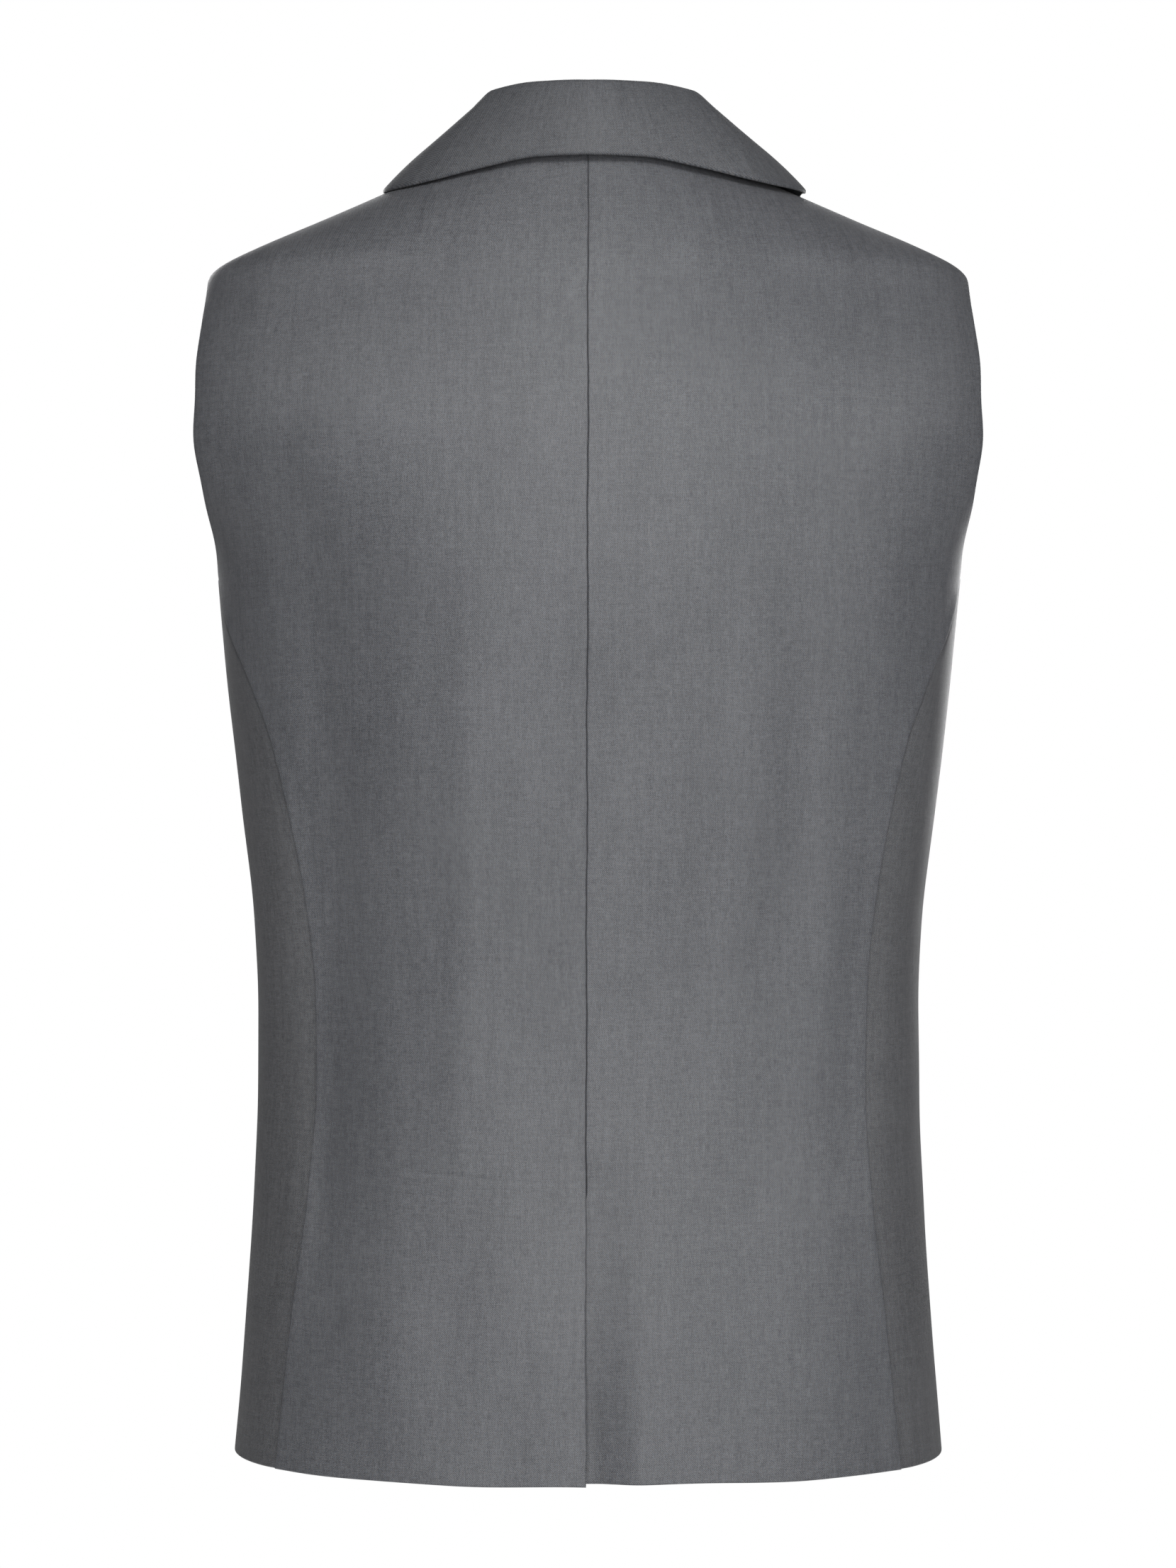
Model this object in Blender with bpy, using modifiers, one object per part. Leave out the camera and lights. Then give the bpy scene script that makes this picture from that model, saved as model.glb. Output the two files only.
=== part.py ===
"""Sleeveless tailored jacket (suit waistcoat), filled out as worn, with a collar, lapels and a back vent.

Metres, +Z up. The back faces +Y and the wearer's left is +X. The origin lies midway between the two
points where the shoulder seams meet the collar. Each panel is a patch of one body form: level rings
whose half width and depths are read from SECTIONS, thickened inwards by the cloth's wall.
"""
import math

import bmesh
import bpy
from mathutils import Matrix, Vector

NAME = "suit_waistcoat"

WALL = 0.002            # cloth thickness
SEAM_GAP = 0.0005       # opening left for a seam, which the wall narrows to about 0.3 mm
LAY_GAP = 0.0007        # between a panel and what lies on it
VENT_TOP = -0.529       # where the centre-back seam opens into the vent
VENT_LAP = 0.036        # width of the underlap
VENT_RAMP = 0.030       # over which the right back sinks to pass beneath the left
VENT_OPENING = 0.024    # height over which it sinks, round the vent's top
VENT_FLARE = 0.002      # extra sinking of the underlap towards the hem
VENT_FLARE_LENGTH = 0.14
FRONT_LAP = 0.018       # each front's reach across the centre line
FRONT_RAMP = 0.030      # over which the left front sinks to pass beneath the right
FRONT_SINK_TOP = -0.150     # where the left front begins to sink
FRONT_SINK_LENGTH = 0.060
BREAK = -0.270          # where the fronts' roll lines begin
LAPEL_START = -0.217    # where each lapel comes clear of the other front
SIDE_BACK_TOP = -0.212      # where the side-back seam meets the armhole
SIDE_FRONT_TOP = -0.232     # where the side-front seam meets it
SHOULDER_TIP = -0.050       # where the shoulder seam meets it
NECK_HALF_WIDTH = 0.083
SHOULDER_SLOPE = 0.43   # drop of the shoulder line for each unit outwards
TIP_ROUNDING = 0.0015
BACK_NECK_RISE = 0.008  # of the collar seam at the centre back over the neck points
NECK_RISE_LENGTH = 0.060
CLEARANCE = 0.0002      # added where one panel passes beneath another
NORMAL_STEP = 0.0002    # height step that finds the form's slope

# Level sections of the body form, in millimetres, with the roundness (superellipse power) of each half.
# height, half width, back depth, front depth, back roundness, front roundness
SECTIONS = (
    (12, 201.0, 60.0, 60.0, 1.95, 1.95),
    (0, 201.0, 64.5, 63.0, 1.90, 1.90),
    (-20, 201.0, 73.5, 67.0, 1.78, 1.80),
    (-50, 201.0, 85.0, 73.0, 1.70, 1.75),
    (-65, 204.7, 89.0, 78.0, 1.80, 1.85),
    (-80, 209.7, 93.0, 84.0, 1.95, 1.95),
    (-110, 215.2, 101.0, 95.0, 2.25, 2.10),
    (-139, 216.0, 106.0, 105.0, 2.40, 2.20),
    (-173, 207.7, 108.0, 115.0, 2.40, 2.20),
    (-201, 197.7, 108.0, 121.0, 2.40, 2.20),
    (-230, 195.0, 106.0, 124.0, 2.40, 2.20),
    (-275, 190.7, 100.5, 122.0, 2.40, 2.20),
    (-335, 183.6, 93.5, 110.0, 2.38, 2.20),
    (-395, 176.3, 87.0, 99.0, 2.32, 2.20),
    (-440, 174.2, 84.5, 95.0, 2.30, 2.20),
    (-485, 174.2, 86.0, 95.0, 2.30, 2.20),
    (-545, 176.6, 96.0, 98.0, 2.35, 2.20),
    (-605, 180.8, 107.0, 102.0, 2.40, 2.20),
    (-672, 186.5, 113.0, 106.0, 2.40, 2.20),
)

# Armhole outline seen from the side, in millimetres: height, then the distances of its back and
# front edges behind the side line.
ARMHOLE = (
    (-50, 0, 0),
    (-56, 8, -9),
    (-65, 15, -17),
    (-80, 25, -28),
    (-104, 36, -42),
    (-130, 44, -52),
    (-158, 43, -58),
    (-186, 32, -57),
    (-212, 17, -49),
    (-232, 1, -34),
    (-241, -9, -22),
    (-243, -15, -15),
)

# Side-back seam: height, distance of the seam from the centre line, in millimetres.
SIDE_BACK_SEAM = (
    (-212, 195.5),
    (-238, 189.0),
    (-268, 176.0),
    (-300, 164.0),
    (-339, 155.0),
    (-380, 148.5),
    (-426, 144.0),
    (-480, 143.0),
    (-538, 146.0),
    (-594, 152.0),
    (-672, 160.0),
)

# Side-front seam: height, distance in front of the side line, in millimetres.
SIDE_FRONT_SEAM = (
    (-232, 34),
    (-280, 40),
    (-340, 44),
    (-440, 45),
    (-560, 47),
    (-672, 50),
)

# Largest soft folds of the back: centre line distance at the top and the bottom (+X is the left),
# top and bottom heights, half width and outward depth, in millimetres.
FOLDS = (
    (116, 132, -215, -520, 14, -3.2),
    (139, 146, -230, -500, 12, 1.6),
    (92, 108, -200, -560, 13, 2.2),
    (74, 84, -215, -600, 12, -1.4),
    (-97, -93, -240, -420, 16, -1.8),
    (-128, -120, -230, -520, 16, 1.2),
)

# Heights of the rows shared by panels that meet at a seam, in millimetres, hem first.
ROWS_BELOW_ARMHOLE = (-672, -645, -615, -585, -556, -529, -505, -480, -455, -430, -404, -378,
                      -352, -326, -300, -278, -258)
BACK_ROWS = ROWS_BELOW_ARMHOLE + (-236, -212, -186, -158, -130, -104, -80, -65, -56, -50,
                                  -46, -30, -15, 0)
FRONT_ROWS = ROWS_BELOW_ARMHOLE + (-245, -232, -212, -186, -158, -130, -104, -80, -65, -56, -50,
                                   -46, -30, -15, 0)

# Top rows of a side panel, in millimetres: back height, front height, dip between them.
SIDE_TOP_ROWS = ((-236, -245, -4), (-212, -232, -24))

# Collar stations: share of the way round from the centre back (1 is the shoulder, 2 the lapel),
# stand height, its lean towards the neck, and the leaf edge's height on the back, in millimetres.
COLLAR = (
    (0.00, 30.0, 1.0, -3.0),
    (0.20, 30.0, 1.5, -3.6),
    (0.40, 29.0, 2.5, -8.5),
    (0.60, 27.0, 4.0, -13.5),
    (0.80, 20.0, 5.0, -13.3),
    (1.00, 15.5, 5.0, -11.3),
    (1.30, 12.0, 4.0, 0.0),
    (1.70, 8.0, 2.0, 0.0),
    (2.00, 4.0, 0.0, 0.0),
)
COLLAR_STATIONS = 14            # on each side of the centre back
COLLAR_FOLD_RADIUS = 0.003
COLLAR_FOLD_TURN = math.pi * 0.85
LEAF_BELLY = 0.0015             # outward swell of the leaf between its fold and its edge
RIDGE_CLEARANCE = 0.0012        # of the leaf over the ridge of the shoulder
GORGE = Vector((0.063, -0.048))         # seen from the front: distance from the centre, height
NOTCH = Vector((0.090, -0.072))
NOTCH_SHARE = 0.58              # share of the leaf's width from the gorge to the notch
LAPEL_TIP = Vector((0.110, -0.090))
LAPEL_BULGE = Vector((0.072, -0.190))   # control point of the lapel's curved edge
LAPEL_FOOT = 0.003              # width of the lapel's lower end
LAPEL_SWELL = 0.0012
COLLAR_CORNER = Vector((0.115, -0.061))
COLLAR_AT_SHOULDER = Vector((0.1085, -0.0113))

BUTTON_HEIGHTS = (-0.290, -0.375, -0.460)
BUTTON_RADIUS = 0.010
BUTTON_THICKNESS = 0.0034
BUTTON_RIM = 0.0009

SUITING = (0.165, 0.168, 0.180)
SUITING_SIDE = (0.150, 0.153, 0.165)
COLLAR_CLOTH = (0.140, 0.144, 0.158)
HORN = (0.045, 0.045, 0.050)


def read_table(table, height, column):
    """Value of a table's column at a height, on a smooth curve through its rows, in metres."""
    h = min(max(height * 1000, table[-1][0]), table[0][0])
    for i in range(len(table) - 1):
        if h >= table[i + 1][0]:
            break
    h0, h1 = table[i][0], table[i + 1][0]
    v0, v1 = table[i][column], table[i + 1][column]

    def slope(j):
        """Slope at a row: none where the values turn, else the harmonic mean of its two sides."""
        if j == 0 or j == len(table) - 1:
            k = 0 if j == 0 else j - 1
            return (table[k + 1][column] - table[k][column]) / (table[k + 1][0] - table[k][0])
        before = (table[j][column] - table[j - 1][column]) / (table[j][0] - table[j - 1][0])
        after = (table[j + 1][column] - table[j][column]) / (table[j + 1][0] - table[j][0])
        if before * after <= 0:
            return 0.0
        return 2 * before * after / (before + after)

    span = h1 - h0
    t = (h - h0) / span
    value = ((2 * t**3 - 3 * t**2 + 1) * v0 + (t**3 - 2 * t**2 + t) * span * slope(i)
             + (3 * t**2 - 2 * t**3) * v1 + (t**3 - t**2) * span * slope(i + 1))
    return value / 1000


def ease(t):
    """Smooth step from 0 to 1."""
    t = min(max(t, 0.0), 1.0)
    return t * t * (3 - 2 * t)


def half_width(z):
    """Half width of the form: the body's, cut by the sloping shoulder line above the tips."""
    body = read_table(SECTIONS, z, 1)
    shoulder = NECK_HALF_WIDTH - z / SHOULDER_SLOPE
    step = (body - shoulder) / TIP_ROUNDING
    if step > 30:
        return shoulder
    return body - TIP_ROUNDING * math.log(1 + math.exp(step))


def ring_shape(z, front):
    """Half width, depth and roundness of one half of the level ring at z."""
    if front:
        return half_width(z), read_table(SECTIONS, z, 3), read_table(SECTIONS, z, 5) * 1000
    return half_width(z), read_table(SECTIONS, z, 2), read_table(SECTIONS, z, 4) * 1000


def angle_from_x(z, x, front):
    """Ring angle, 0 at the side and a right angle at the centre, of a distance from the centre."""
    width, _, power = ring_shape(z, front)
    return math.acos(min(max(x / width, 0.0), 1.0) ** (power / 2))


def angle_from_y(z, y):
    """Signed ring angle of a distance behind (+) or in front (-) of the side line."""
    _, depth, power = ring_shape(z, y < 0)
    return math.copysign(math.asin(min(abs(y) / depth, 1.0) ** (power / 2)), y)


def implicit(x, y, z):
    """Zero on the form, positive outside it."""
    width, depth, power = ring_shape(z, y < 0)
    return (abs(x) / width) ** power + (abs(y) / depth) ** power - 1


def form_normal(point):
    """Outward normal of the form."""
    x, y, z = point
    width, depth, power = ring_shape(z, y < 0)
    nx = power / width * (abs(x) / width) ** (power - 1)
    ny = power / depth * (abs(y) / depth) ** (power - 1)
    rise = implicit(x, y, z + NORMAL_STEP) - implicit(x, y, z - NORMAL_STEP)
    nz = rise / (2 * NORMAL_STEP)
    return Vector((math.copysign(nx, x), math.copysign(ny, y), nz)).normalized()


def form_point(angle, z):
    """Point of the form's +X half at a ring angle: positive angles are behind, negative in front."""
    width, depth, power = ring_shape(z, angle < 0)
    x = width * abs(math.cos(angle)) ** (2 / power)
    y = depth * abs(math.sin(angle)) ** (2 / power)
    return Vector((x, math.copysign(y, angle), z))


def chest_point(x, z):
    """Point of the front of the form at a signed distance from the centre line."""
    width, depth, power = ring_shape(z, True)
    y = depth * (1 - min(abs(x) / width, 1.0) ** power) ** (1 / power)
    return Vector((x, -y, z))


def fold_height(x, z):
    """Outward height of the back's soft folds at a signed distance from the centre line."""
    total = 0.0
    for top_x, bottom_x, top, bottom, spread, depth in FOLDS:
        along = (top - z * 1000) / (top - bottom)
        if 0 < along < 1:
            centre = top_x + (bottom_x - top_x) * along
            fade = math.sin(math.pi * along) ** 2
            total += depth * fade * math.exp(-((x * 1000 - centre) / spread) ** 2)
    return total / 1000


def roll_line(z):
    """Distance from the centre line, positive on its own side, of a front's inner edge."""
    if z <= BREAK:
        return -FRONT_LAP
    return -FRONT_LAP + (NECK_HALF_WIDTH + FRONT_LAP) * (z - BREAK) / -BREAK


def back_outer_angle(z):
    """Ring angle of the back panel's outer edge: side-back seam, armhole, then shoulder seam."""
    gap = SEAM_GAP / 2
    if z <= SIDE_BACK_TOP:
        return angle_from_x(z, read_table(SIDE_BACK_SEAM, z, 1), False)
    if z < SHOULDER_TIP:
        return angle_from_y(z, max(read_table(ARMHOLE, z, 1), gap))
    return angle_from_y(z, gap)


def front_outer_angle(z):
    """Ring angle of the front panel's outer edge: side-front seam, armhole, then shoulder seam."""
    gap = SEAM_GAP / 2
    if z <= SIDE_FRONT_TOP:
        return angle_from_y(z, -read_table(SIDE_FRONT_SEAM, z, 1))
    if z < SHOULDER_TIP:
        return angle_from_y(z, min(read_table(ARMHOLE, z, 2), -gap))
    return angle_from_y(z, -gap)


def back_surface(side, across, z, depth):
    """Point of a back panel: across runs from the centre seam (0) to its outer edge (1)."""
    lift = BACK_NECK_RISE * ease(z / NECK_RISE_LENGTH + 1) * (1 - across**2)
    angle = math.pi / 2 + (back_outer_angle(z) - math.pi / 2) * across
    point = form_point(angle, z + lift)
    point.x += SEAM_GAP / 2 * (1 - across)
    if z <= SIDE_BACK_TOP:
        point.x -= SEAM_GAP / 2 * across
    point.x *= side
    return sink_back(side, point, depth)


def sink_back(side, point, depth):
    """Back point with the folds and the vent's steps, taken inwards by depth."""
    normal = form_normal(point)
    height = fold_height(point.x, point.z)
    if side < 0:
        opening = ease((VENT_TOP - point.z) / VENT_OPENING + 1)
        near = ease(point.x / VENT_RAMP + 1)
        flare = VENT_FLARE * ease((VENT_TOP - point.z) / VENT_FLARE_LENGTH)
        height -= near * opening * (WALL + SEAM_GAP + CLEARANCE + flare)
    return point + normal * (height - depth)


def underlap_surface(across, z, depth):
    """Point of the right back's underlap: across runs from the centre line (0) to its edge (1)."""
    x = -SEAM_GAP / 2 + (VENT_LAP + SEAM_GAP / 2) * across
    angle = angle_from_x(z, abs(x), False)
    y = form_point(angle, z).y
    return sink_back(-1, Vector((x, y, z)), depth)


def side_surface(side, across, z, depth):
    """Point of a side panel: across runs from the side-back seam (0) to the side-front seam (1)."""
    back = back_outer_angle(z)
    front = front_outer_angle(z)
    angle = back + (front - back) * across
    point = form_point(angle, z)
    normal = form_normal(point)
    around = Vector((normal.y, -normal.x, 0)).normalized()
    point += around * SEAM_GAP / 2 * (1 - 2 * across)
    point.x *= side
    normal.x *= side
    return point + normal * (fold_height(point.x, point.z) * (1 - ease(across * 3)) - depth)


def side_row_height(row, across):
    """Height of a side panel's row: level below the armhole, then following its edge."""
    level = ROWS_BELOW_ARMHOLE
    if row < len(level):
        return level[row] / 1000
    back, front, dip = SIDE_TOP_ROWS[row - len(level)]
    return (back + (front - back) * across + dip * math.sin(math.pi * across**0.9)) / 1000


def front_surface(side, across, z, depth):
    """Point of a front panel: across runs from its inner edge (0) to its outer edge (1)."""
    inner = roll_line(z)
    if inner >= 0:
        start = -angle_from_x(z, inner, True)
    else:
        start = -math.pi + angle_from_x(z, -inner, True)
    angle = start + (front_outer_angle(z) - start) * across
    point = form_point(angle, z)
    if angle < -math.pi / 2:
        point.x = -point.x
    point.x *= side
    return sink_front(side, point, depth)


def sink_front(side, point, depth):
    """Front point taken inwards by depth; the left front sinks to pass beneath the right one."""
    normal = form_normal(point)
    height = 0.0
    if side > 0:
        near = ease((FRONT_LAP + FRONT_RAMP - point.x) / FRONT_RAMP)
        below = ease((FRONT_SINK_TOP - point.z) / FRONT_SINK_LENGTH)
        height -= near * below * (WALL + SEAM_GAP + 0.5 * SEAM_GAP)
    return point + normal * (height - depth)


def lapel_outline(share):
    """Roll-line point and outer-edge point of the lapel at a share of the way up it."""
    start = Vector((roll_line(LAPEL_START), LAPEL_START))
    roll = start.lerp(GORGE, share)
    low = start + Vector((LAPEL_FOOT, 0.0))
    edge = low * (1 - share) ** 2 + LAPEL_BULGE * 2 * share * (1 - share) + LAPEL_TIP * share**2
    return roll, edge


def lapel_surface(side, across, share, depth):
    """Point of a lapel lying on its front: across runs from the roll line (0) to its edge (1)."""
    roll, edge = lapel_outline(share)
    spot = roll.lerp(edge, across)
    point = chest_point(spot.x, spot.y)
    point.x *= side
    raised = LAPEL_SWELL * math.sin(math.pi * across) * ease(share * 3)
    return point + form_normal(point) * (LAY_GAP + WALL + raised - depth)


def collar_numbers(along):
    """Stand height, lean and leaf-edge height at a share of the way round the collar."""
    for row, following in zip(COLLAR, COLLAR[1:]):
        if along <= following[0]:
            t = (along - row[0]) / (following[0] - row[0])
            return [(a + (b - a) * t) / 1000 for a, b in zip(row[1:], following[1:])]
    return [value / 1000 for value in COLLAR[-1][1:]]


def collar_frame(along):
    """Seam point, standing direction and outward direction of the collar at a station."""
    if along <= 1:
        z = BACK_NECK_RISE * (1 - along**2)
        point = form_point(math.pi / 2 * (1 - along) + 0.0005, z)
        standing = Vector((0, 0, 1))
    else:
        z = GORGE.y * ease((along - 1) * 0.5) * 2
        x = roll_line(z)
        point = chest_point(x, z)
        standing = Vector((0, 0, 1)).lerp(form_normal(point), ease((along - 1) / 0.8))
    normal = form_normal(point)
    standing = standing.normalized()
    outward = (normal - standing * normal.dot(standing))
    if along > 1:
        away = Vector((1, 0, -0.6))
        level = (away - standing * away.dot(standing)).normalized()
        outward = outward.normalized().lerp(level, ease((along - 1) * 1.5))
    return point, standing, outward.normalized()


def leaf_edge(along, drop):
    """Point of the form beneath the leaf's edge, and the form's normal there."""
    if along <= 1:
        angle = math.pi / 2 * (1 - along)
        point = form_point(angle, drop)
    else:
        spot = COLLAR_AT_SHOULDER.lerp(COLLAR_CORNER, (along - 1) ** 1.5)
        point = chest_point(min(spot.x, half_width(spot.y) * 0.9999), spot.y)
    return point, form_normal(point)


def collar_surface(side, along, profile, depth):
    """Point of the collar's section: up the stand (0 to 1), over the fold (1 to 2), down the leaf."""
    stand, lean, drop = collar_numbers(along)
    seam, standing, outward = collar_frame(along)
    radius = min(COLLAR_FOLD_RADIUS, stand * 0.6)
    top = stand - radius
    if profile <= 1:
        out = -WALL - lean * profile
        place = seam + standing * (0.0005 + (top - 0.0005) * profile) + outward * (out + depth)
    elif profile <= 2:
        turn = COLLAR_FOLD_TURN * (profile - 1)
        r = radius - depth
        out = -WALL - lean + radius - r * math.cos(turn)
        place = seam + standing * (top + r * math.sin(turn)) + outward * out
    else:
        r = radius - depth
        bend = (seam + standing * (top + r * math.sin(COLLAR_FOLD_TURN))
                + outward * (-WALL - lean + radius - r * math.cos(COLLAR_FOLD_TURN)))
        under, normal = leaf_edge(along, drop)
        over_ridge = RIDGE_CLEARANCE * math.exp(-((along - 1.08) / 0.12) ** 2)
        end = under + normal * (LAY_GAP + over_ridge + WALL - depth)
        share = profile - 2
        place = bend.lerp(end, share)
        belly = LEAF_BELLY * math.sin(math.pi * share)
        place += normal * belly
        if along > 1:
            place += gorge_pull(along, share)
    return Vector((place.x * side, place.y, place.z))


def gorge_pull(along, share):
    """Shift that bends the collar's front end from the gorge seam to the notch's other side."""
    straight = GORGE.lerp(COLLAR_CORNER, share)
    if share < NOTCH_SHARE:
        bent = GORGE.lerp(NOTCH, share / NOTCH_SHARE)
    else:
        bent = NOTCH.lerp(COLLAR_CORNER, (share - NOTCH_SHARE) / (1 - NOTCH_SHARE))
    shift = (bent - straight) * ease((along - 1.45) / 0.55)
    before = chest_point(straight.x, straight.y)
    after = chest_point(straight.x + shift.x, straight.y + shift.y)
    return after - before


def make_material(name, color, roughness):
    """Principled material of one cloth or trim."""
    material = bpy.data.materials.new(name)
    material.use_nodes = True
    shader = material.node_tree.nodes["Principled BSDF"]
    shader.inputs["Base Color"].default_value = (*color, 1.0)
    shader.inputs["Roughness"].default_value = roughness
    shader.inputs["Metallic"].default_value = 0.0
    return material


def make_sheet(name, columns, rows, place, material, keep=None):
    """Closed wall of cloth: a grid thickened while flat, then carried onto the form by place.

    place(column, row, depth) gives a point for a grid corner on the outer face (depth 0) or the
    inner face (depth WALL). keep(column, row) says which grid cells are cloth.
    """
    sheet = bmesh.new()
    bmesh.ops.create_grid(sheet, x_segments=columns, y_segments=rows, size=0.5)
    if keep:
        cells = []
        for face in sheet.faces:
            centre = face.calc_center_median()
            column = int((centre.x + 0.5) * columns)
            row = int((centre.y + 0.5) * rows)
            if not keep(column, row):
                cells.append(face)
        bmesh.ops.delete(sheet, geom=cells, context="FACES")
    grown = bmesh.ops.extrude_face_region(sheet, geom=sheet.faces[:])
    lifted = [item for item in grown["geom"] if isinstance(item, bmesh.types.BMVert)]
    bmesh.ops.translate(sheet, verts=lifted, vec=(0, 0, 1))
    for vert in sheet.verts:
        column = round((vert.co.x + 0.5) * columns)
        row = round((vert.co.y + 0.5) * rows)
        vert.co = place(column, row, vert.co.z * WALL)
    bmesh.ops.triangulate(sheet, faces=sheet.faces[:])
    bmesh.ops.recalc_face_normals(sheet, faces=sheet.faces[:])
    mesh = bpy.data.meshes.new(name)
    sheet.to_mesh(mesh)
    sheet.free()
    mesh.shade_smooth()
    mesh.materials.append(material)
    piece = bpy.data.objects.new(name, mesh)
    collection.objects.link(piece)
    return piece


def make_back_left(material):
    """Left back panel, from the centre seam to the side-back seam, the armhole and the shoulder."""
    columns = 12
    rows = len(BACK_ROWS) - 1

    def place(column, row, depth):
        return back_surface(1, column / columns, BACK_ROWS[row] / 1000, depth)

    return make_sheet("back_left", columns, rows, place, material)


def make_back_right(material):
    """Right back panel, with the underlap that passes beneath the left one below the vent's top."""
    columns = 12
    lap_columns = 2
    rows = len(BACK_ROWS) - 1
    vent_row = BACK_ROWS.index(round(VENT_TOP * 1000))

    def place(column, row, depth):
        z = BACK_ROWS[row] / 1000
        if column < lap_columns:
            return underlap_surface(1 - column / lap_columns, z, depth)
        return back_surface(-1, (column - lap_columns) / columns, z, depth)

    def keep(column, row):
        return column >= lap_columns or row < vent_row

    return make_sheet("back_right", columns + lap_columns, rows, place, material, keep)


def make_side(name, side, material):
    """Side panel below an armhole."""
    columns = 6
    rows = len(ROWS_BELOW_ARMHOLE) + 1

    def place(column, row, depth):
        across = column / columns
        return side_surface(side, across, side_row_height(row, across), depth)

    return make_sheet(name, columns, rows, place, material)


def make_front(name, side, material):
    """Front panel, from its lapped edge and roll line to the side seam, armhole and shoulder."""
    columns = 11
    rows = len(FRONT_ROWS) - 1

    def place(column, row, depth):
        return front_surface(side, column / columns, FRONT_ROWS[row] / 1000, depth)

    return make_sheet(name, columns, rows, place, material)


def make_lapel(name, side, material):
    """Turned-back lapel lying on its front."""
    columns = 6
    rows = 10

    def place(column, row, depth):
        return lapel_surface(side, column / columns, row / rows, depth)

    return make_sheet(name, columns, rows, place, material)


def make_collar(material):
    """Folded collar, from one lapel round the back of the neck to the other."""
    stops = (0.0, 0.5, 1.0, 1.33, 1.67, 2.0, 2.2, 2.4, 2.58, 2.8, 3.0)
    columns = COLLAR_STATIONS * 2
    rows = len(stops) - 1

    def place(column, row, depth):
        along = 2 * (column - COLLAR_STATIONS) / COLLAR_STATIONS
        side = -1 if along < 0 else 1
        return collar_surface(side, abs(along), stops[row], depth)

    return make_sheet("collar", columns, rows, place, material)


def make_button(name, height, material):
    """Round button lying on the right front at the centre line."""
    disc = bmesh.new()
    bmesh.ops.create_cone(disc, cap_ends=True, segments=16, radius1=BUTTON_RADIUS,
                          radius2=BUTTON_RADIUS, depth=BUTTON_THICKNESS)
    mesh = bpy.data.meshes.new(name)
    disc.to_mesh(mesh)
    disc.free()
    mesh.shade_smooth()
    mesh.set_sharp_from_angle(angle=math.radians(40))
    mesh.materials.append(material)
    button = bpy.data.objects.new(name, mesh)
    seat = chest_point(0.0, height)
    normal = form_normal(Vector((0.0001, seat.y, seat.z)))
    normal.x = 0.0
    lift = SEAM_GAP + BUTTON_THICKNESS / 2
    spin = normal.to_track_quat("Z", "Y").to_matrix().to_4x4()
    button.matrix_world = Matrix.Translation(seat + normal * lift) @ spin
    collection.objects.link(button)
    rim = button.modifiers.new("rim", "BEVEL")
    rim.width = BUTTON_RIM
    rim.segments = 2
    rim.limit_method = "ANGLE"
    return button


for leftover in list(bpy.data.objects):
    bpy.data.objects.remove(leftover, do_unlink=True)

collection = bpy.data.collections.new(NAME)
bpy.context.scene.collection.children.link(collection)

suiting = make_material("suiting", SUITING, 0.85)
suiting_side = make_material("suiting_side", SUITING_SIDE, 0.85)
collar_cloth = make_material("collar_cloth", COLLAR_CLOTH, 0.85)
horn = make_material("horn", HORN, 0.35)

make_back_left(suiting)
make_back_right(suiting)
make_side("side_left", 1, suiting_side)
make_side("side_right", -1, suiting_side)
make_front("front_left", 1, suiting)
make_front("front_right", -1, suiting)
make_lapel("lapel_left", 1, suiting)
make_lapel("lapel_right", -1, suiting)
make_collar(collar_cloth)
for number, level in enumerate(BUTTON_HEIGHTS, start=1):
    make_button(f"button_{number}", level, horn)
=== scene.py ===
"""Sleeveless tailored jacket: the looks of its cloth, collar, lapels and buttons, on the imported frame.

Metres, +Z up. The back faces +Y and the wearer's left is +X. Each panel is a thin shell on the body
form that its solid follows, with the soft creases, pressed edges and seams of real suiting.
"""
import logging
import math
from dataclasses import dataclass
from enum import Enum
from typing import ClassVar, Sequence

import bmesh
import bpy
import numpy as np
from mathutils import Matrix, Vector


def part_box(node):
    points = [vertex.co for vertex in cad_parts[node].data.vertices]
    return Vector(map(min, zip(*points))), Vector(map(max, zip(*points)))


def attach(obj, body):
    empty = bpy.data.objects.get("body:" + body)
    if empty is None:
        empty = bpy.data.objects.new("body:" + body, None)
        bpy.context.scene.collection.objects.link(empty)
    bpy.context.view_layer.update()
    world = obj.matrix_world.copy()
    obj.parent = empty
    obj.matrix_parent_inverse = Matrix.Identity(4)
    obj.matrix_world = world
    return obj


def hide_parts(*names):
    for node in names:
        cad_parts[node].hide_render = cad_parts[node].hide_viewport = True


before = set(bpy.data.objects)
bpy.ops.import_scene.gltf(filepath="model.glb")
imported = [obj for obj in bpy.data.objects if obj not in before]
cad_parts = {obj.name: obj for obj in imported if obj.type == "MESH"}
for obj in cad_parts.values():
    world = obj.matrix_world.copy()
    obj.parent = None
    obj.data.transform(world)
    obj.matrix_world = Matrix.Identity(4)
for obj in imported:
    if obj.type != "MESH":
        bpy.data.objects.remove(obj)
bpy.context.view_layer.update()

log = logging.getLogger("waistcoat")
Array = np.ndarray
Socket = bpy.types.NodeSocket
Color = tuple[float, float, float]


class Side(Enum):
    """Side of the wearer, with the sign of its X coordinates."""

    LEFT = 1
    RIGHT = -1


class Region(Enum):
    """Half of the garment that a crease lies on."""

    BACK = 1
    FRONT = -1


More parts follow.
